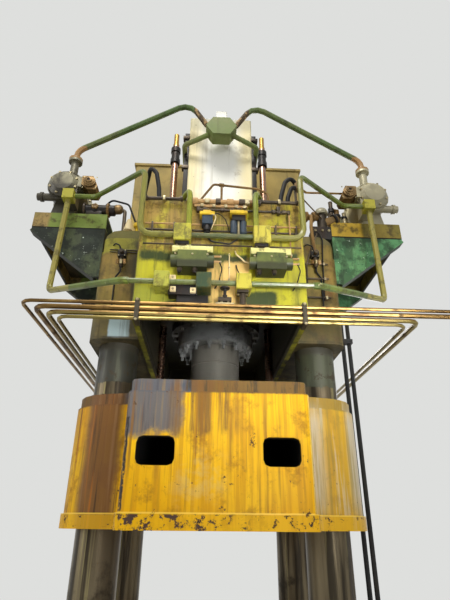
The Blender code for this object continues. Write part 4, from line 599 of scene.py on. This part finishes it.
class Piece:
    """One object made of several closed forms. Y is measured from its level."""

    made = []

    def __init__(self, name, level=0.0, slot="black_steel", body="frame"):
        self.name, self.slot, self.level, self.body = name, slot, level, body
        self.mesh = bpy.data.meshes.new(name)
        self.whole = bmesh.new()
        self.made.append(self)

    def at(self, place):
        x, y, z = place
        return Vector((x, y + self.level, z))

    def add(self, form, finish):
        material = FINISHES[finish]
        if material.name not in self.mesh.materials:
            self.mesh.materials.append(material)
        index = list(self.mesh.materials).index(material)
        bmesh.ops.recalc_face_normals(form, faces=form.faces)
        for face in form.faces:
            face.material_index = index
            face.smooth = True
        part = bpy.data.meshes.new("part")
        form.to_mesh(part)
        form.free()
        self.whole.from_mesh(part)
        bpy.data.meshes.remove(part)

    def block(self, low, size, finish, bevel=0.004):
        """A block from its low corner and its size."""
        low = self.at(low)
        form = bmesh.new()
        bmesh.ops.create_cube(form, size=1.0)
        for vertex in form.verts:
            vertex.co = [low[i] + size[i] * (vertex.co[i] + 0.5) for i in range(3)]
        bmesh.ops.bevel(form, geom=list(form.edges), offset=bevel, segments=2, affect="EDGES", profile=0.6)
        self.add(form, finish)

    def skin(self, rings, form, finish, caps=False):
        """Faces from each ring of points to the next. A ring of one point is a tip."""
        sides = max(len(ring) for ring in rings)
        for near, far in zip(rings, rings[1:]):
            for i in range(sides):
                j = (i + 1) % sides
                corners = [near[i % len(near)], near[j % len(near)], far[j % len(far)], far[i % len(far)]]
                corners = list(dict.fromkeys(corners))
                if len(corners) > 2:
                    form.faces.new(corners)
        if caps:
            form.faces.new(rings[0])
            form.faces.new(rings[-1])
        self.add(form, finish)

    def turned(self, profile, start, axis, finish, sides=16):
        """A profile of (radius, distance along the axis) pairs, turned round the axis."""
        lay = Matrix.Translation(self.at(start)) @ turn_to(axis)
        form = bmesh.new()
        turns = [2 * pi * i / sides for i in range(sides)]
        rings = [[form.verts.new(lay @ Vector((radius * cos(a), radius * sin(a), along)))
                  for a in (turns if radius else (0,))] for radius, along in profile]
        self.skin(rings, form, finish)

    def rod(self, start, run, radius, finish, sides=16):
        """A round bar with small chamfers, from its start along a run."""
        length = Vector(run).length
        edge = min(radius * 0.15, length * 0.2)
        profile = [(0, 0), (radius - edge, 0), (radius, edge), (radius, length - edge), (radius - edge, length),
                   (0, length)]
        self.turned(profile, start, run, finish, sides)

    def hexagon(self, start, axis, radius, height, finish="zinc"):
        """A bolt's head."""
        profile = [(0, 0), (radius, 0), (radius, height * 0.82), (radius * 0.86, height), (0, height)]
        self.turned(profile, start, axis, finish, 6)

    def ring(self, centre, axis, circle, count, radius, height, finish, turn=0.5):
        """Bolt heads round an axis."""
        lay = Matrix.Translation(centre) @ turn_to(axis)
        for i in range(count):
            angle = 2 * pi * (i + turn) / count
            self.hexagon(lay @ Vector((circle * cos(angle), circle * sin(angle), 0)), axis, radius, height, finish)

    def tube(self, corners, radius, finish, bend=0.05, sides=10):
        """A round pipe or hose along a run of corners, with closed ends."""
        points = bent([self.at(corner) for corner in corners], bend)
        form = bmesh.new()
        rings = []
        side = None
        for i, point in enumerate(points):
            along = (points[min(i + 1, len(points) - 1)] - points[max(i - 1, 0)]).normalized()
            if side is None:
                side = along.orthogonal().normalized()
            side = (side - along * side.dot(along)).normalized()
            other = along.cross(side)
            turns = [2 * pi * k / sides for k in range(sides)]
            rings.append([form.verts.new(point + (side * cos(a) + other * sin(a)) * radius) for a in turns])
        self.skin(rings, form, finish, caps=True)

    def done(self):
        self.whole.to_mesh(self.mesh)
        self.whole.free()
        self.mesh.set_sharp_from_angle(angle=radians(40))
        made = bpy.data.objects.new(self.name, self.mesh)
        bpy.context.scene.collection.objects.link(made)
        bpy.context.view_layer.update()
        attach(made, self.body)


# Thin conduits across the crown's face, with clips
ROW_Y = FACE_Y - 0.022
rows = Piece("face_conduits", ROW_Y)
for row_z, row_r, finish in ((5.81, 0.009, "tan"), (5.725, 0.012, "dark"), (5.662, 0.01, "tan"),
        (5.535, 0.009, "dark")):
    rows.tube([(-0.885, 0, row_z), (0.9, 0, row_z)], row_r, finish)
for clip_x in (-0.8, -0.55, 0.62, 0.86):
    rows.block((clip_x - 0.01, -0.014, 5.64), (0.02, 0.04, 0.19), "dark", 0.003)

# Pipes along the upper edge of the face
EDGE_Y = FACE_Y - 0.045
edge = Piece("edge_pipes", EDGE_Y)
for start_x, end_x in ((-0.89, -0.48), (0.46, 0.885)):
    edge.tube([(start_x, 0, EDGE_Z), (end_x, 0, EDGE_Z)], 0.02, "dark")
    for x in (start_x, end_x):
        edge.rod((x - 0.014, 0, EDGE_Z), (0.028, 0, 0), 0.032, "dark", 12)
    edge.block(((start_x + end_x) / 2 - 0.015, -0.025, 6.115), (0.03, 0.074, 0.057), "zinc", 0.003)

# The pipe and fitting strip above the two pilot valves
STRIP_Y = FACE_Y - 0.05
strip = Piece("pilot_strip", STRIP_Y, "copper_pipe")
strip.tube([(-0.4, 0, STRIP_Z), (0.44, 0, STRIP_Z)], 0.026, "tan", sides=12)
for x, radius, width, finish in ((-0.33, 0.04, 0.04, "tan"), (-0.18, 0.038, 0.03, "zinc"), (-0.05, 0.04, 0.03, "dark"),
        (0.09, 0.038, 0.04, "tan"), (0.23, 0.04, 0.036, "dark"), (0.29, 0.04, 0.03, "zinc"),
        (0.4, 0.042, 0.05, "dark")):
    strip.rod((x - width, 0, STRIP_Z), (2 * width, 0, 0), radius, finish, 12)
strip.tube([(-0.33, 0.01, FEED_Z), (0.29, 0.01, FEED_Z)], 0.018, "tan")
strip.tube([(-0.29, 0.01, RETURN_Z), (0.8, 0.01, RETURN_Z)], 0.014, "dark")
for x in (-0.24, -0.1, 0.04, 0.16, 0.26):
    strip.rod((x - 0.02, 0.01, FEED_Z), (0.04, 0, 0), 0.028, "zinc", 8)
for x in (-0.2, 0, 0.12, 0.6, 0.72):
    strip.rod((x - 0.024, 0.01, RETURN_Z), (0.048, 0, 0), 0.026, "dark", 8)
for x in (-0.28, 0.2, 0.66):
    strip.block((x - 0.02, 0, 5.985), (0.04, 0.054, 0.1), "dark", 0.003)
for x in (-0.33, 0.34):
    strip.block((x - 0.02, 0, 6.1), (0.04, 0.054, 0.065), "tan", 0.003)

# Two pilot valves with yellow tops
pilot = Piece("pilot_valve_left", FACE_Y, "green_paint")
pilot.block((-0.262, -0.13, 5.885), (0.172, 0.12, 0.04), "yellow", 0.006)
pilot.block((-0.225, -0.11, 5.925), (0.095, 0.08, 0.03), "yellow", 0.005)
pilot.block((-0.232, -0.115, 5.77), (0.122, 0.119, 0.117), "blue", 0.006)
pilot.turned([(0, 0), (0.042, 0), (0.046, 0.008), (0.046, 0.075), (0.03, 0.085), (0.03, 0.1), (0, 0.1)],
    (-0.172, -0.06, 5.772), DOWN, "black")
pilot.ring((-0.172, -0.07, 5.955), UP, 0.026, 4, 0.008, 0.008, "black")

pilot = Piece("pilot_valve_right", FACE_Y, "green_paint")
pilot.block((0.085, -0.14, 5.905), (0.2, 0.13, 0.04), "yellow", 0.006)
pilot.block((0.12, -0.12, 5.945), (0.125, 0.09, 0.02), "yellow", 0.005)
pilot.block((0.11, -0.11, 5.83), (0.155, 0.114, 0.077), "black", 0.006)
for x in (0.13, 0.24):
    pilot.turned([(0, 0), (0.034, 0), (0.038, 0.008), (0.038, 0.165), (0.024, 0.18), (0.024, 0.205), (0, 0.205)],
        (x, -0.068, 5.835), DOWN, "blue")
pilot.rod((0.185, -0.08, 5.835), (0, 0, -0.195), 0.014, "zinc", 8)
pilot.ring((0.182, -0.075, 5.965), UP, 0.03, 4, 0.008, 0.008, "black")

wires = Piece("pilot_wires", FACE_Y, "packing")
for corners, radius, finish in (([(-0.12, -0.125, 5.885), (-0.07, -0.15, 5.85), (-0.095, -0.12, 5.77),
        (-0.13, -0.06, 5.72)], 0.006, "cream"), ([(-0.11, -0.115, 5.9), (-0.04, -0.14, 5.885), (0.03, -0.11, 5.84),
        (0.07, -0.05, 5.76), (0.075, -0.02, 5.73)], 0.006, "rubber"), ([(-0.195, -0.075, 5.68), (-0.195, -0.08, 5.63),
        (-0.12, -0.06, 5.56), (0.09, -0.05, 5.54), (0.185, -0.075, 5.6), (0.185, -0.08, 5.645)], 0.01, "rubber")):
    wires.tube(corners, radius, finish, 0.06, 8)

# The thin line down the face at the right, with its fittings
DRAIN_X = 0.78
line = Piece("drain_line", FACE_Y)
line.tube([(DRAIN_X, -0.04, RETURN_Z), (DRAIN_X, -0.04, 5.6), (DRAIN_X, -0.02, 5.56), (DRAIN_X, -0.02, 5.34)],
    0.008, "tan", 0.03)
line.rod((DRAIN_X, -0.04, RETURN_Z + 0.018), (0, 0, -0.051), 0.02, "dark", 8)
line.rod((DRAIN_X, -0.02, 5.37), (0, 0, -0.04), 0.016, "zinc", 8)
line.block((DRAIN_X - 0.015, -0.032, 5.42), (0.03, 0.036, 0.025), "zinc", 0.003)

# Dark flanges between the upper blocks and the spool valves
for side, x in (("left", -0.44), ("right", 0.43)):
    link = Piece(f"valve_flange_{side}", FACE_Y)
    link.block((x - 0.075, -0.19, 5.44), (0.15, 0.17, 0.044), "black", 0.006)
    link.rod((x, -0.13, 5.43), (0, 0, 0.06), 0.052, "dark")
    for dx in (-0.055, 0.055):
        link.hexagon((x + dx, -0.165, 5.44), DOWN, 0.014, 0.012)

# Bolts, caps, plugs and wires on the spool valves
for side in SIDES:
    low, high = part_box(f"spool_valve_{side}")
    trim = Piece(f"valve_trim_{side}", slot="cream_paint")
    mid_y = (low.y + high.y) / 2
    for x in (low.x + 0.05, (low.x + high.x) / 2, high.x - 0.07):
        trim.hexagon((x, low.y + 0.004, 5.3), FRONT, 0.013, 0.012)
    for x in (low.x + 0.1, low.x + 0.26):
        trim.rod((x, low.y + 0.05, low.z + 0.02), (0, 0, -0.055), 0.028, "dark", 12)
        trim.hexagon((x, low.y + 0.05, low.z - 0.035), DOWN, 0.022, 0.02, "black")
    for z in (5.255, 5.32):
        trim.rod((high.x - 0.01, mid_y - 0.03, z), (0.085, 0, 0), 0.011, "tan", 8)
        trim.hexagon((high.x + 0.066, mid_y - 0.03, z), (1, 0, 0), 0.016, 0.016)
    trim.tube([(high.x + 0.06, mid_y - 0.03, 5.25), (high.x + 0.09, mid_y - 0.02, 5.18),
        (high.x + 0.06, FACE_Y - 0.03, 5.06), (high.x + 0.015, FACE_Y - 0.016, 4.99)], 0.007, "rubber", 0.05, 8)

# Pads and bolt heads beside the left valve's foot
pads = Piece("foot_pads", FACE_Y)
pads.block((-0.56, -0.12, 4.86), (0.3, 0.124, 0.17), "black", 0.006)
pads.block((-0.47, -0.1, 4.69), (0.33, 0.104, 0.175), "black", 0.006)
for x, z in ((-0.52, 5.045), (-0.51, 4.91), (-0.3, 4.9)):
    pads.block((x - 0.03, -0.15, z - 0.028), (0.06, 0.05, 0.056), "cream")
    pads.hexagon((x, -0.15, z), FRONT, 0.014, 0.01)

# The small handwheel valve on the bundle, and the pipe that hangs from the lower header
WHEEL_X = 0.035
wheel = Piece("bundle_valve", FACE_Y)
wheel.turned([(0, 0), (0.05, 0), (0.054, 0.006), (0.05, 0.014), (0.02, 0.022), (0.016, 0.04), (0.016, 0.085),
    (0.026, 0.09), (0.026, 0.12), (0.018, 0.126), (0.018, 0.15), (0, 0.15)], (WHEEL_X, -0.12, 4.95), DOWN, "black")
for dx in (-0.034, 0.036):
    wheel.rod((WHEEL_X + dx, -0.12, 4.84), (0, 0, -0.095), 0.013, "zinc", 8)
wheel.block((WHEEL_X - 0.07, -0.14, 4.79), (0.14, 0.144, 0.045), "dark", 0.005)
wheel.block((WHEEL_X - 0.095, -0.135, 4.757), (0.19, 0.04, 0.018), "zinc", 0.003)

DROP_X = 0.22
drop = Piece("header_drop", FACE_Y)
drop.block((DROP_X - 0.06, -0.18, 4.88), (0.12, 0.13, 0.032), "dark", 0.005)
drop.rod((DROP_X, -0.12, 4.9), (0, 0, -0.15), 0.034, "dark", 12)
for dx in (-0.042, 0.042):
    drop.hexagon((DROP_X + dx, -0.12, 4.88), DOWN, 0.014, 0.014)

# Short wires between the valves
loose = Piece("face_wires", FACE_Y, "packing")
loose.tube([(0.085, -0.014, 5.44), (0.085, -0.014, 5.08)], 0.006, "cream", sides=8)
loose.tube([(0.15, -0.014, 5.47), (0.16, -0.06, 5.4), (0.225, -0.08, 5.33), (0.25, -0.06, 5.31), (0.3, -0.05, 5.3)],
    0.008, "cream", 0.05, 8)
loose.tube([(0.16, -0.014, 5.29), (0.165, -0.04, 5.24), (0.2, -0.06, 5.14), (0.215, -0.04, 5.1)],
    0.007, "rubber", 0.05, 8)
for z in (5.42, 5.26, 5.11):
    loose.block((0.074, -0.022, z - 0.008), (0.022, 0.026, 0.016), "zinc", 0.002)

# The brown loop over the deck in front of the tank
LOOP_Y = FACE_Y + 0.045
loop = Piece("deck_loop", LOOP_Y, "copper_pipe")
loop.tube([(-0.26, 0, IN_DECK), (-0.25, 0, 6.23), (-0.11, 0, 6.455), (0.44, 0, 6.405), (0.55, 0, 6.34),
    (0.56, 0, IN_DECK)], 0.014, "brown")
loop.tube([(-0.01, 0, 6.447), (-0.01, 0, IN_DECK)], 0.014, "brown")
loop.rod((-0.04, 0, 6.449), (0.06, 0, -0.006), 0.023, "brown", 10)
for x in (-0.26, -0.01, 0.55):
    loop.rod((x, 0, IN_DECK - 0.002), (0, 0, 0.026), 0.026, "dark", 12)

# Black hoses at both sides of the deck
HOSE_Y = FACE_Y + 0.08
hoses = Piece("deck_hoses", HOSE_Y, "packing")
for corners in ([(0.7, 0, IN_DECK), (0.724, 0, 6.34), (0.78, 0, 6.56), (0.86, 0, 6.63), (0.935, 0.06, 6.575)],
        [(0.79, 0, IN_DECK), (0.806, 0, 6.32), (0.86, 0, 6.48), (0.93, 0.06, 6.52)],
        [(-0.755, 0, IN_DECK), (-0.775, 0, 6.4), (-0.82, 0, 6.64), (-0.9, 0, 6.71), (-1, 0.35, 6.6),
        (-1.05, EAR_FRONT_Y - HOSE_Y + 0.1, CROWN_TOP - 0.01)]):
    hoses.tube(corners, 0.028, "rubber", 0.12, 12)
for x in (0.7, 0.79, -0.755):
    hoses.rod((x, 0, IN_DECK - 0.002), (0, 0, 0.051), 0.034, "zinc", 12)
hoses.rod((-1.05, EAR_FRONT_Y - HOSE_Y + 0.1, CROWN_TOP - 0.01), (0.002, -0.01, 0.06), 0.03, "zinc", 12)

# Gold and copper pipes from there to the right-hand platform
gold = Piece("side_feed_pipes", slot="copper_pipe")
gold.block((0.905, HOSE_Y + 0.02, 6.485), (0.06, 0.09, 0.125), "bronze", 0.006)
gold.block((0.905, HOSE_Y + 0.045, IN_DECK), (0.025, 0.04, 6.49 - IN_DECK), "dark")
housing_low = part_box("control_housing_right")[0]
gold.tube([(0.94, HOSE_Y + 0.08, 6.58), (1.12, -1.9, 6.66), (housing_low.x + 0.02, housing_low.y + 0.07,
    housing_low.z + 0.12)], 0.015, "brass", 0.08)
gold.tube([(0.94, HOSE_Y + 0.08, 6.52), (1.1, -1.86, 6.56), (1.6, -1.14, 6.69), (1.66, -1.08, 6.624)],
    0.009, "copper", 0.08, 8)

# Pumps: bolt rings, ribs and plugs
for side, sign in SIDES.items():
    low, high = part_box(f"pump_{side}")
    axis_x = sign * PUMP_X
    bolts = Piece(f"pump_bolts_{side}", slot="cast_grey")
    bolts.ring((axis_x, low.y + 0.06, PUMP_Z), FRONT, 0.19, 8, 0.02, 0.024, "zinc")
    bolts.ring((axis_x, -0.9, PUMP_Z), FRONT, 0.268, 10, 0.018, 0.022, "zinc")
    bolts.ring((sign * 2.17, -1.3, 7.56), UP, 0.062, 4, 0.014, 0.018, "zinc")
    for k in range(3):
        y = -1.36 + 0.13 * k
        arc = [radians(30 + 15 * t) for t in range(9)]
        bolts.tube([(axis_x + 0.249 * cos(a), y, PUMP_Z + 0.249 * sin(a)) for a in arc], 0.01, "pump", 0, 6)
    bolts.hexagon((axis_x + sign * 0.1, low.y + 0.055, 6.96), FRONT, 0.028, 0.026, "brass")
    low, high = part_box(f"control_housing_{side}")
    dial = Piece(f"housing_trim_{side}", slot="bronze")
    for z in (low.z + 0.025, high.z - 0.022):
        for x in (low.x + 0.024, high.x - 0.024):
            dial.hexagon((x, low.y + 0.028, z), FRONT, 0.01, 0.01)
    middle = ((low.x + high.x) / 2, low.y + 0.006, (low.z + high.z) / 2)
    dial.turned([(0, 0), (0.088, 0), (0.088, 0.014), (0.072, 0.02), (0.07, 0.034), (0.05, 0.04), (0.046, 0.056),
        (0.022, 0.06), (0.018, 0.03), (0, 0.03)], middle, FRONT, "bronze", 24)
    dial.rod((middle[0], low.y - 0.02, middle[2]), (0, -0.026, 0), 0.017, "black", 10)

# Small items on the ears and platforms
cone = Piece("ear_lamp", slot="cream_paint")
cone.turned([(0, -0.01), (0.05, -0.01), (0.054, 0.006), (0.018, 0.016), (0.018, 0.06), (0.066, 0.072), (0.062, 0.1),
    (0.03, 0.25), (0.016, 0.268), (0, 0.27)], (-1.27, -1.33, CROWN_TOP), UP, "cream", 20)
knob = Piece("ear_knob", slot="brass")
knob.turned([(0, -0.02), (0.02, -0.02), (0.02, 0.12), (0.044, 0.132), (0.052, 0.16), (0.044, 0.188), (0, 0.2)],
    (-1.15, -1.34, CROWN_TOP), UP, "yellow")
stubs = Piece("ear_stubs")
for x, y, height in ((-1.06, -1.33, 0.3), (-1.11, -1.29, 0.24)):
    stubs.tube([(x, y, CROWN_TOP - 0.01), (x, y, CROWN_TOP + height), (x - 0.06, y + 0.05, CROWN_TOP + height + 0.06)],
        0.018, "tan")
    stubs.rod((x, y, CROWN_TOP - 0.012), (0, 0, 0.036), 0.032, "dark", 12)

# Valves on the ears' front faces
for side, sign in SIDES.items():
    x = sign * 1.275
    z = 5.96 if sign > 0 else 5.88
    cock = Piece(f"ear_valve_{side}", EAR_FRONT_Y)
    cock.block((x - 0.055, -0.07, z - 0.05), (0.11, 0.074, 0.1), "black", 0.006)
    cock.rod((x, -0.065, z), (0, -0.07, 0), 0.03, "dark", 12)
    cock.rod((x, -0.035, z - 0.045), (0, 0, -0.145), 0.028, "dark", 12)
    cock.tube([(x, -0.035, z - 0.185), (x, -0.035, z - 0.26), (x + sign * 0.06, -0.02, z - 0.34),
        (x + sign * 0.06, -0.016, z - 0.8)], 0.012, "rubber")
    cock.tube([(x - 0.02, -0.06, z + 0.045), (x - 0.04, -0.08, z + 0.11), (x - 0.1, -0.05, z + 0.15),
        (x - 0.14, 0.004, z + 0.15)], 0.01, "rubber")
    cock.ring((x, -0.068, z), FRONT, 0.055, 4, 0.009, 0.008, "zinc")
    for k in range(3):
        cock.rod((x - 0.04 + 0.04 * k, -0.075, z - 0.1), (0.01 * k - 0.01, 0.02, -0.055), 0.02,
            ("brown", "zinc", "tan")[k], 10)

# Dark valve bodies between the pumps and the crown, with their flanges and the lines to them
UNIT_Y = -1.24
UNIT_Z = 6.74
POST_X = 1.47
PLATFORM_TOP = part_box("pump_platform_left")[1].z
unit = Piece("feed_unit_left", UNIT_Y)
unit.block((-1.9, -0.06, PLATFORM_TOP - 0.004), (0.22, 0.15, 0.064), "black", 0.006)
unit.rod((-1.96, 0, UNIT_Z), (0.46, 0, 0), 0.078, "black", 20)
for x, radius, finish in ((-1.93, 0.104, "dark"), (-1.78, 0.092, "black"), (-1.6, 0.104, "brown")):
    unit.rod((x - 0.018, 0, UNIT_Z), (0.036, 0, 0), radius, finish, 20)
unit.turned([(0, 0), (0.064, 0), (0.07, 0.014), (0.07, 0.07), (0.052, 0.1), (0.03, 0.112), (0, 0.114)],
    (-1.505, 0, 6.76), (1, 0, 0.1), "bronze", 20)
unit.rod((-1.78, 0, UNIT_Z), (0, -0.09, 0.02), 0.05, "brown")
unit.ring((-1.78, -0.088, 6.76), FRONT, 0.034, 5, 0.009, 0.01, "zinc", 0)
unit.tube([(-1.43, 0, 6.745), (-1.36, -0.01, UNIT_Z), (-1.35, -0.02, CROWN_TOP - 0.006)], 0.026, "dark", 0.06, 12)
unit.rod((-1.35, -0.02, CROWN_TOP - 0.006), (0, 0, 0.03), 0.05, "dark")
unit.tube([(-1.64, -0.01, 6.82), (-1.56, -0.04, 6.9), (-1.3, -0.08, 6.8), (-1.18, -0.06, 6.5),
    (-1.16, -0.05, CROWN_TOP - 0.006)], 0.014, "rubber", 0.1)

unit = Piece("feed_unit_right", UNIT_Y)
unit.block((1.29, -0.18, CROWN_TOP - 0.006), (0.27, 0.24, 6.476 - CROWN_TOP), "black", 0.01)
unit.rod((POST_X, -0.06, 6.46), (0, 0, 0.3), 0.07, "dark", 20)
unit.turned([(0, 0), (0.094, 0), (0.098, 0.012), (0.098, 0.04), (0.076, 0.09), (0.034, 0.112), (0, 0.116)],
    (POST_X, -0.06, 6.74), UP, "pump", 20)
unit.rod((1.22, -0.1, 6.68), (0.25, 0.04, 0.01), 0.044, "brown")
for x in (1.235, 1.335):
    unit.rod((x - 0.016, -0.096, 6.682), (0.032, 0.006, 0.002), 0.078, "brown", 20)
unit.rod((POST_X, -0.06, 6.61), (0.25, 0.06, 0.11), 0.066, "bronze", 20)
unit.rod((1.64, -0.02, 6.684), (0.032, 0.008, 0.014), 0.092, "black", 20)
unit.rod((1.69, 0, PLATFORM_TOP - 0.004), (0, 0, 6.704 - PLATFORM_TOP), 0.04, "dark")
unit.tube([(1.285, -0.1, 6.68), (1.275, -0.242, 6.6), (1.258, -0.242, 6.41), (1.275, -0.244, 6.02)],
    0.024, "brown", 0.06, 12)
unit.tube([(1.36, -0.178, 6.36), (1.37, -0.22, 6.33), (1.4, -0.234, 6.2), (1.38, -0.226, 5.9), (1.357, -0.222, 5.295)],
    0.01, "rubber", 0.06)
unit.tube([(1.33, -0.178, 6.34), (1.33, -0.26, 6.3), (1.23, -0.24, 6.05), (1.16, -0.226, 5.82), (1.15, -0.222, 5.48)],
    0.01, "dark", 0.06)
for x in (1.33, 1.43, 1.52):
    unit.hexagon((x, -0.178, 6.4), FRONT, 0.02, 0.016)

# Conduits across the right-hand ear, seams across the left
ear_lines = Piece("ear_conduits", EAR_FRONT_Y)
for z, low_x, high_x in ((5.83, 1.01, 1.44), (5.61, 0.99, 1.44), (5.335, 0.99, 1.44)):
    ear_lines.tube([(low_x, -0.014, z), (high_x, -0.014, z)], 0.013, "dark")
    for x in (low_x + 0.05, high_x - 0.05):
        ear_lines.block((x - 0.012, -0.03, z - 0.02), (0.024, 0.034, 0.04), "zinc", 0.002)
for z in (5.925, 5.958):
    ear_lines.tube([(-1.45, -0.008, z), (-1.02, -0.008, z)], 0.008, "dark")

# Fittings at the inner end of the right-hand platform
cluster = Piece("platform_fittings")
for x, y, height, radius, finish in ((1.64, -1.24, 0.38, 0.03, "dark"), (1.73, -1.2, 0.26, 0.04, "brown"),
        (1.66, -1.08, 0.3, 0.026, "dark"), (1.82, -1.25, 0.18, 0.028, "zinc")):
    cluster.rod((x, y, PLATFORM_TOP - 0.006), (0, 0, height + 0.006), radius, finish, 12)
    cluster.rod((x, y, PLATFORM_TOP + height * 0.55), (0, 0, 0.2 * height), radius * 1.45, "black", 12)
    cluster.hexagon((x, y, PLATFORM_TOP + height), UP, radius * 1.1, 0.024, finish)
cluster.tube([(1.64, -1.24, 6.9), (1.73, -1.23, 6.9), (1.73, -1.2, 6.8)], 0.016, "brown", 0.03)

# Rails and brackets beside the tank
for side, sign in SIDES.items():
    rail = Piece(f"tank_rail_{side}", TANK_LOW.y)
    low_x = TANK_HIGH.x if sign > 0 else -TANK_HIGH.x - 0.075
    low_z, high_z = TANK_LOW.z + 0.96, TANK_HIGH.z - 0.34
    rail.block((low_x, 0.03, low_z), (0.075, 0.04, high_z - low_z), "black")
    for z in (low_z + 0.1, (low_z + high_z) / 2, high_z - 0.1):
        rail.block((low_x - (0.004 if sign > 0 else 0.03), 0.01, z - 0.03), (0.109, 0.1, 0.06), "dark")

# Bolts that hold the guide bushes, and the bundle's clamps
for corner in CORNERS:
    low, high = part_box(f"guide_bush_{corner}")
    centre = (low + high) / 2
    screws = Piece(f"bush_screws_{corner}", body="ram_slide")
    screws.ring((centre.x, centre.y, high.z - 0.002), UP, 0.292, 12, 0.016, 0.018, "black")

clamps = Piece("clamp_bolts", FACE_Y)
for x in (-CLAMP_X, CLAMP_X):
    for z in (4.545, 4.765):
        clamps.hexagon((x, -0.168, z), FRONT, 0.016, 0.014)

for piece in Piece.made:
    piece.done()


# Floor, light and camera
def seen_directly(tree):
    """1 where the camera sees it, also in a mirror or through glass."""
    rays = new_node(tree, "ShaderNodeLightPath").outputs
    seen = rays["Is Camera Ray"]
    for name in ("Is Glossy Ray", "Is Transmission Ray"):
        seen = new_node(tree, "ShaderNodeMath", seen, rays[name], operation="MAXIMUM").outputs[0]
    return seen


def floor_paint(colour, rough, near, far):
    """A plain floor that runs into the backdrop's colour between two distances from the press."""
    material = bpy.data.materials.new("floor_pale")
    material.use_nodes = True
    tree = material.node_tree
    shader = tree.nodes["Principled BSDF"]
    shader.inputs["Base Color"].default_value = colour
    shader.inputs["Roughness"].default_value = rough
    place = new_node(tree, "ShaderNodeNewGeometry").outputs["Position"]
    length = new_node(tree, "ShaderNodeVectorMath", place, operation="LENGTH").outputs["Value"]
    ramp = new_node(tree, "ShaderNodeMapRange", length, near, far, interpolation_type="SMOOTHSTEP").outputs[0]
    both = new_node(tree, "ShaderNodeMath", ramp, seen_directly(tree), operation="MULTIPLY").outputs[0]
    glow = new_node(tree, "ShaderNodeEmission", BACKDROP).outputs[0]
    mixed = new_node(tree, "ShaderNodeMixShader", both, shader.outputs[0], glow)
    tree.links.new(mixed.outputs[0], tree.nodes["Material Output"].inputs[0])
    return material


BACKDROP = tone(0xDEDFDD)
FLOOR_HALF = 90.0
floor_mesh = bpy.data.meshes.new("floor")
corners = [(x * FLOOR_HALF, y * FLOOR_HALF, 0) for x, y in ((-1, -1), (1, -1), (1, 1), (-1, 1))]
floor_mesh.from_pydata(corners, [], [(0, 1, 2, 3)])
floor_mesh.materials.append(floor_paint(tone(0xD6D6D2), 0.7, 8.0, 15.0))
floor = bpy.data.objects.new("floor", floor_mesh)
bpy.context.scene.collection.objects.link(floor)

world = bpy.data.worlds.new("studio")
bpy.context.scene.world = world
world.use_nodes = True
tree = world.node_tree
tree.nodes.clear()
shown = new_node(tree, "ShaderNodeBackground", BACKDROP, 1.0).outputs[0]
ambient = new_node(tree, "ShaderNodeBackground", tone(0xE8ECF0), 0.36).outputs[0]
mixed = new_node(tree, "ShaderNodeMixShader", seen_directly(tree), ambient, shown).outputs[0]
new_node(tree, "ShaderNodeOutputWorld", mixed)


def lamp(name, place, aim, size, power, colour=(1.0, 1.0, 1.0), spread=180.0):
    light = bpy.data.lights.new(name, "AREA")
    light.spread = radians(spread)
    light.shape = "RECTANGLE"
    light.size, light.size_y = size
    light.energy = power
    light.color = colour
    made = bpy.data.objects.new(name, light)
    made.location = place
    made.rotation_mode = "QUATERNION"
    made.rotation_quaternion = (Vector(aim) - Vector(place)).to_track_quat("-Z", "Y")
    bpy.context.scene.collection.objects.link(made)


lamp("key", (-2.0, -9.0, 17.5), (0, -1.5, 5.0), (5.0, 4.0), 1420, (1.0, 0.985, 0.95))
lamp("front", (7.0, -15.0, 7.0), (0, -1.0, 4.0), (6.0, 8.0), 400)
lamp("left", (-15.0, -5.0, 8.0), (0, 0, 5.0), (6.0, 9.0), 560)
lamp("low", (2.8, -9.5, 2.6), (0, -0.5, 5.2), (3.0, 2.0), 30, spread=26.0)
lamp("rear", (6.0, 14.0, 12.0), (0, 0, 5.0), (8.0, 8.0), 1400)

PITCH, YAW, ROLL = radians(25.64), radians(2.46), radians(0.55)
forward = Vector((sin(YAW) * cos(PITCH), cos(YAW) * cos(PITCH), sin(PITCH)))
level = forward.cross(Vector((0, 0, 1))).normalized()
above = level.cross(forward)
right = level * cos(ROLL) + above * sin(ROLL)
up = above * cos(ROLL) - level * sin(ROLL)
camera = bpy.data.objects.new("camera", bpy.data.cameras.new("camera"))
camera.data.sensor_width = 36.0
camera.data.lens = 27.81
turn = Matrix((right, up, -forward)).transposed().to_4x4()
camera.matrix_world = Matrix.Translation((-0.15, -6.76, 2.719)) @ turn
camera.data.clip_end = 500.0
bpy.context.scene.collection.objects.link(camera)
bpy.context.scene.camera = camera
bpy.context.scene.view_settings.view_transform = "Standard"
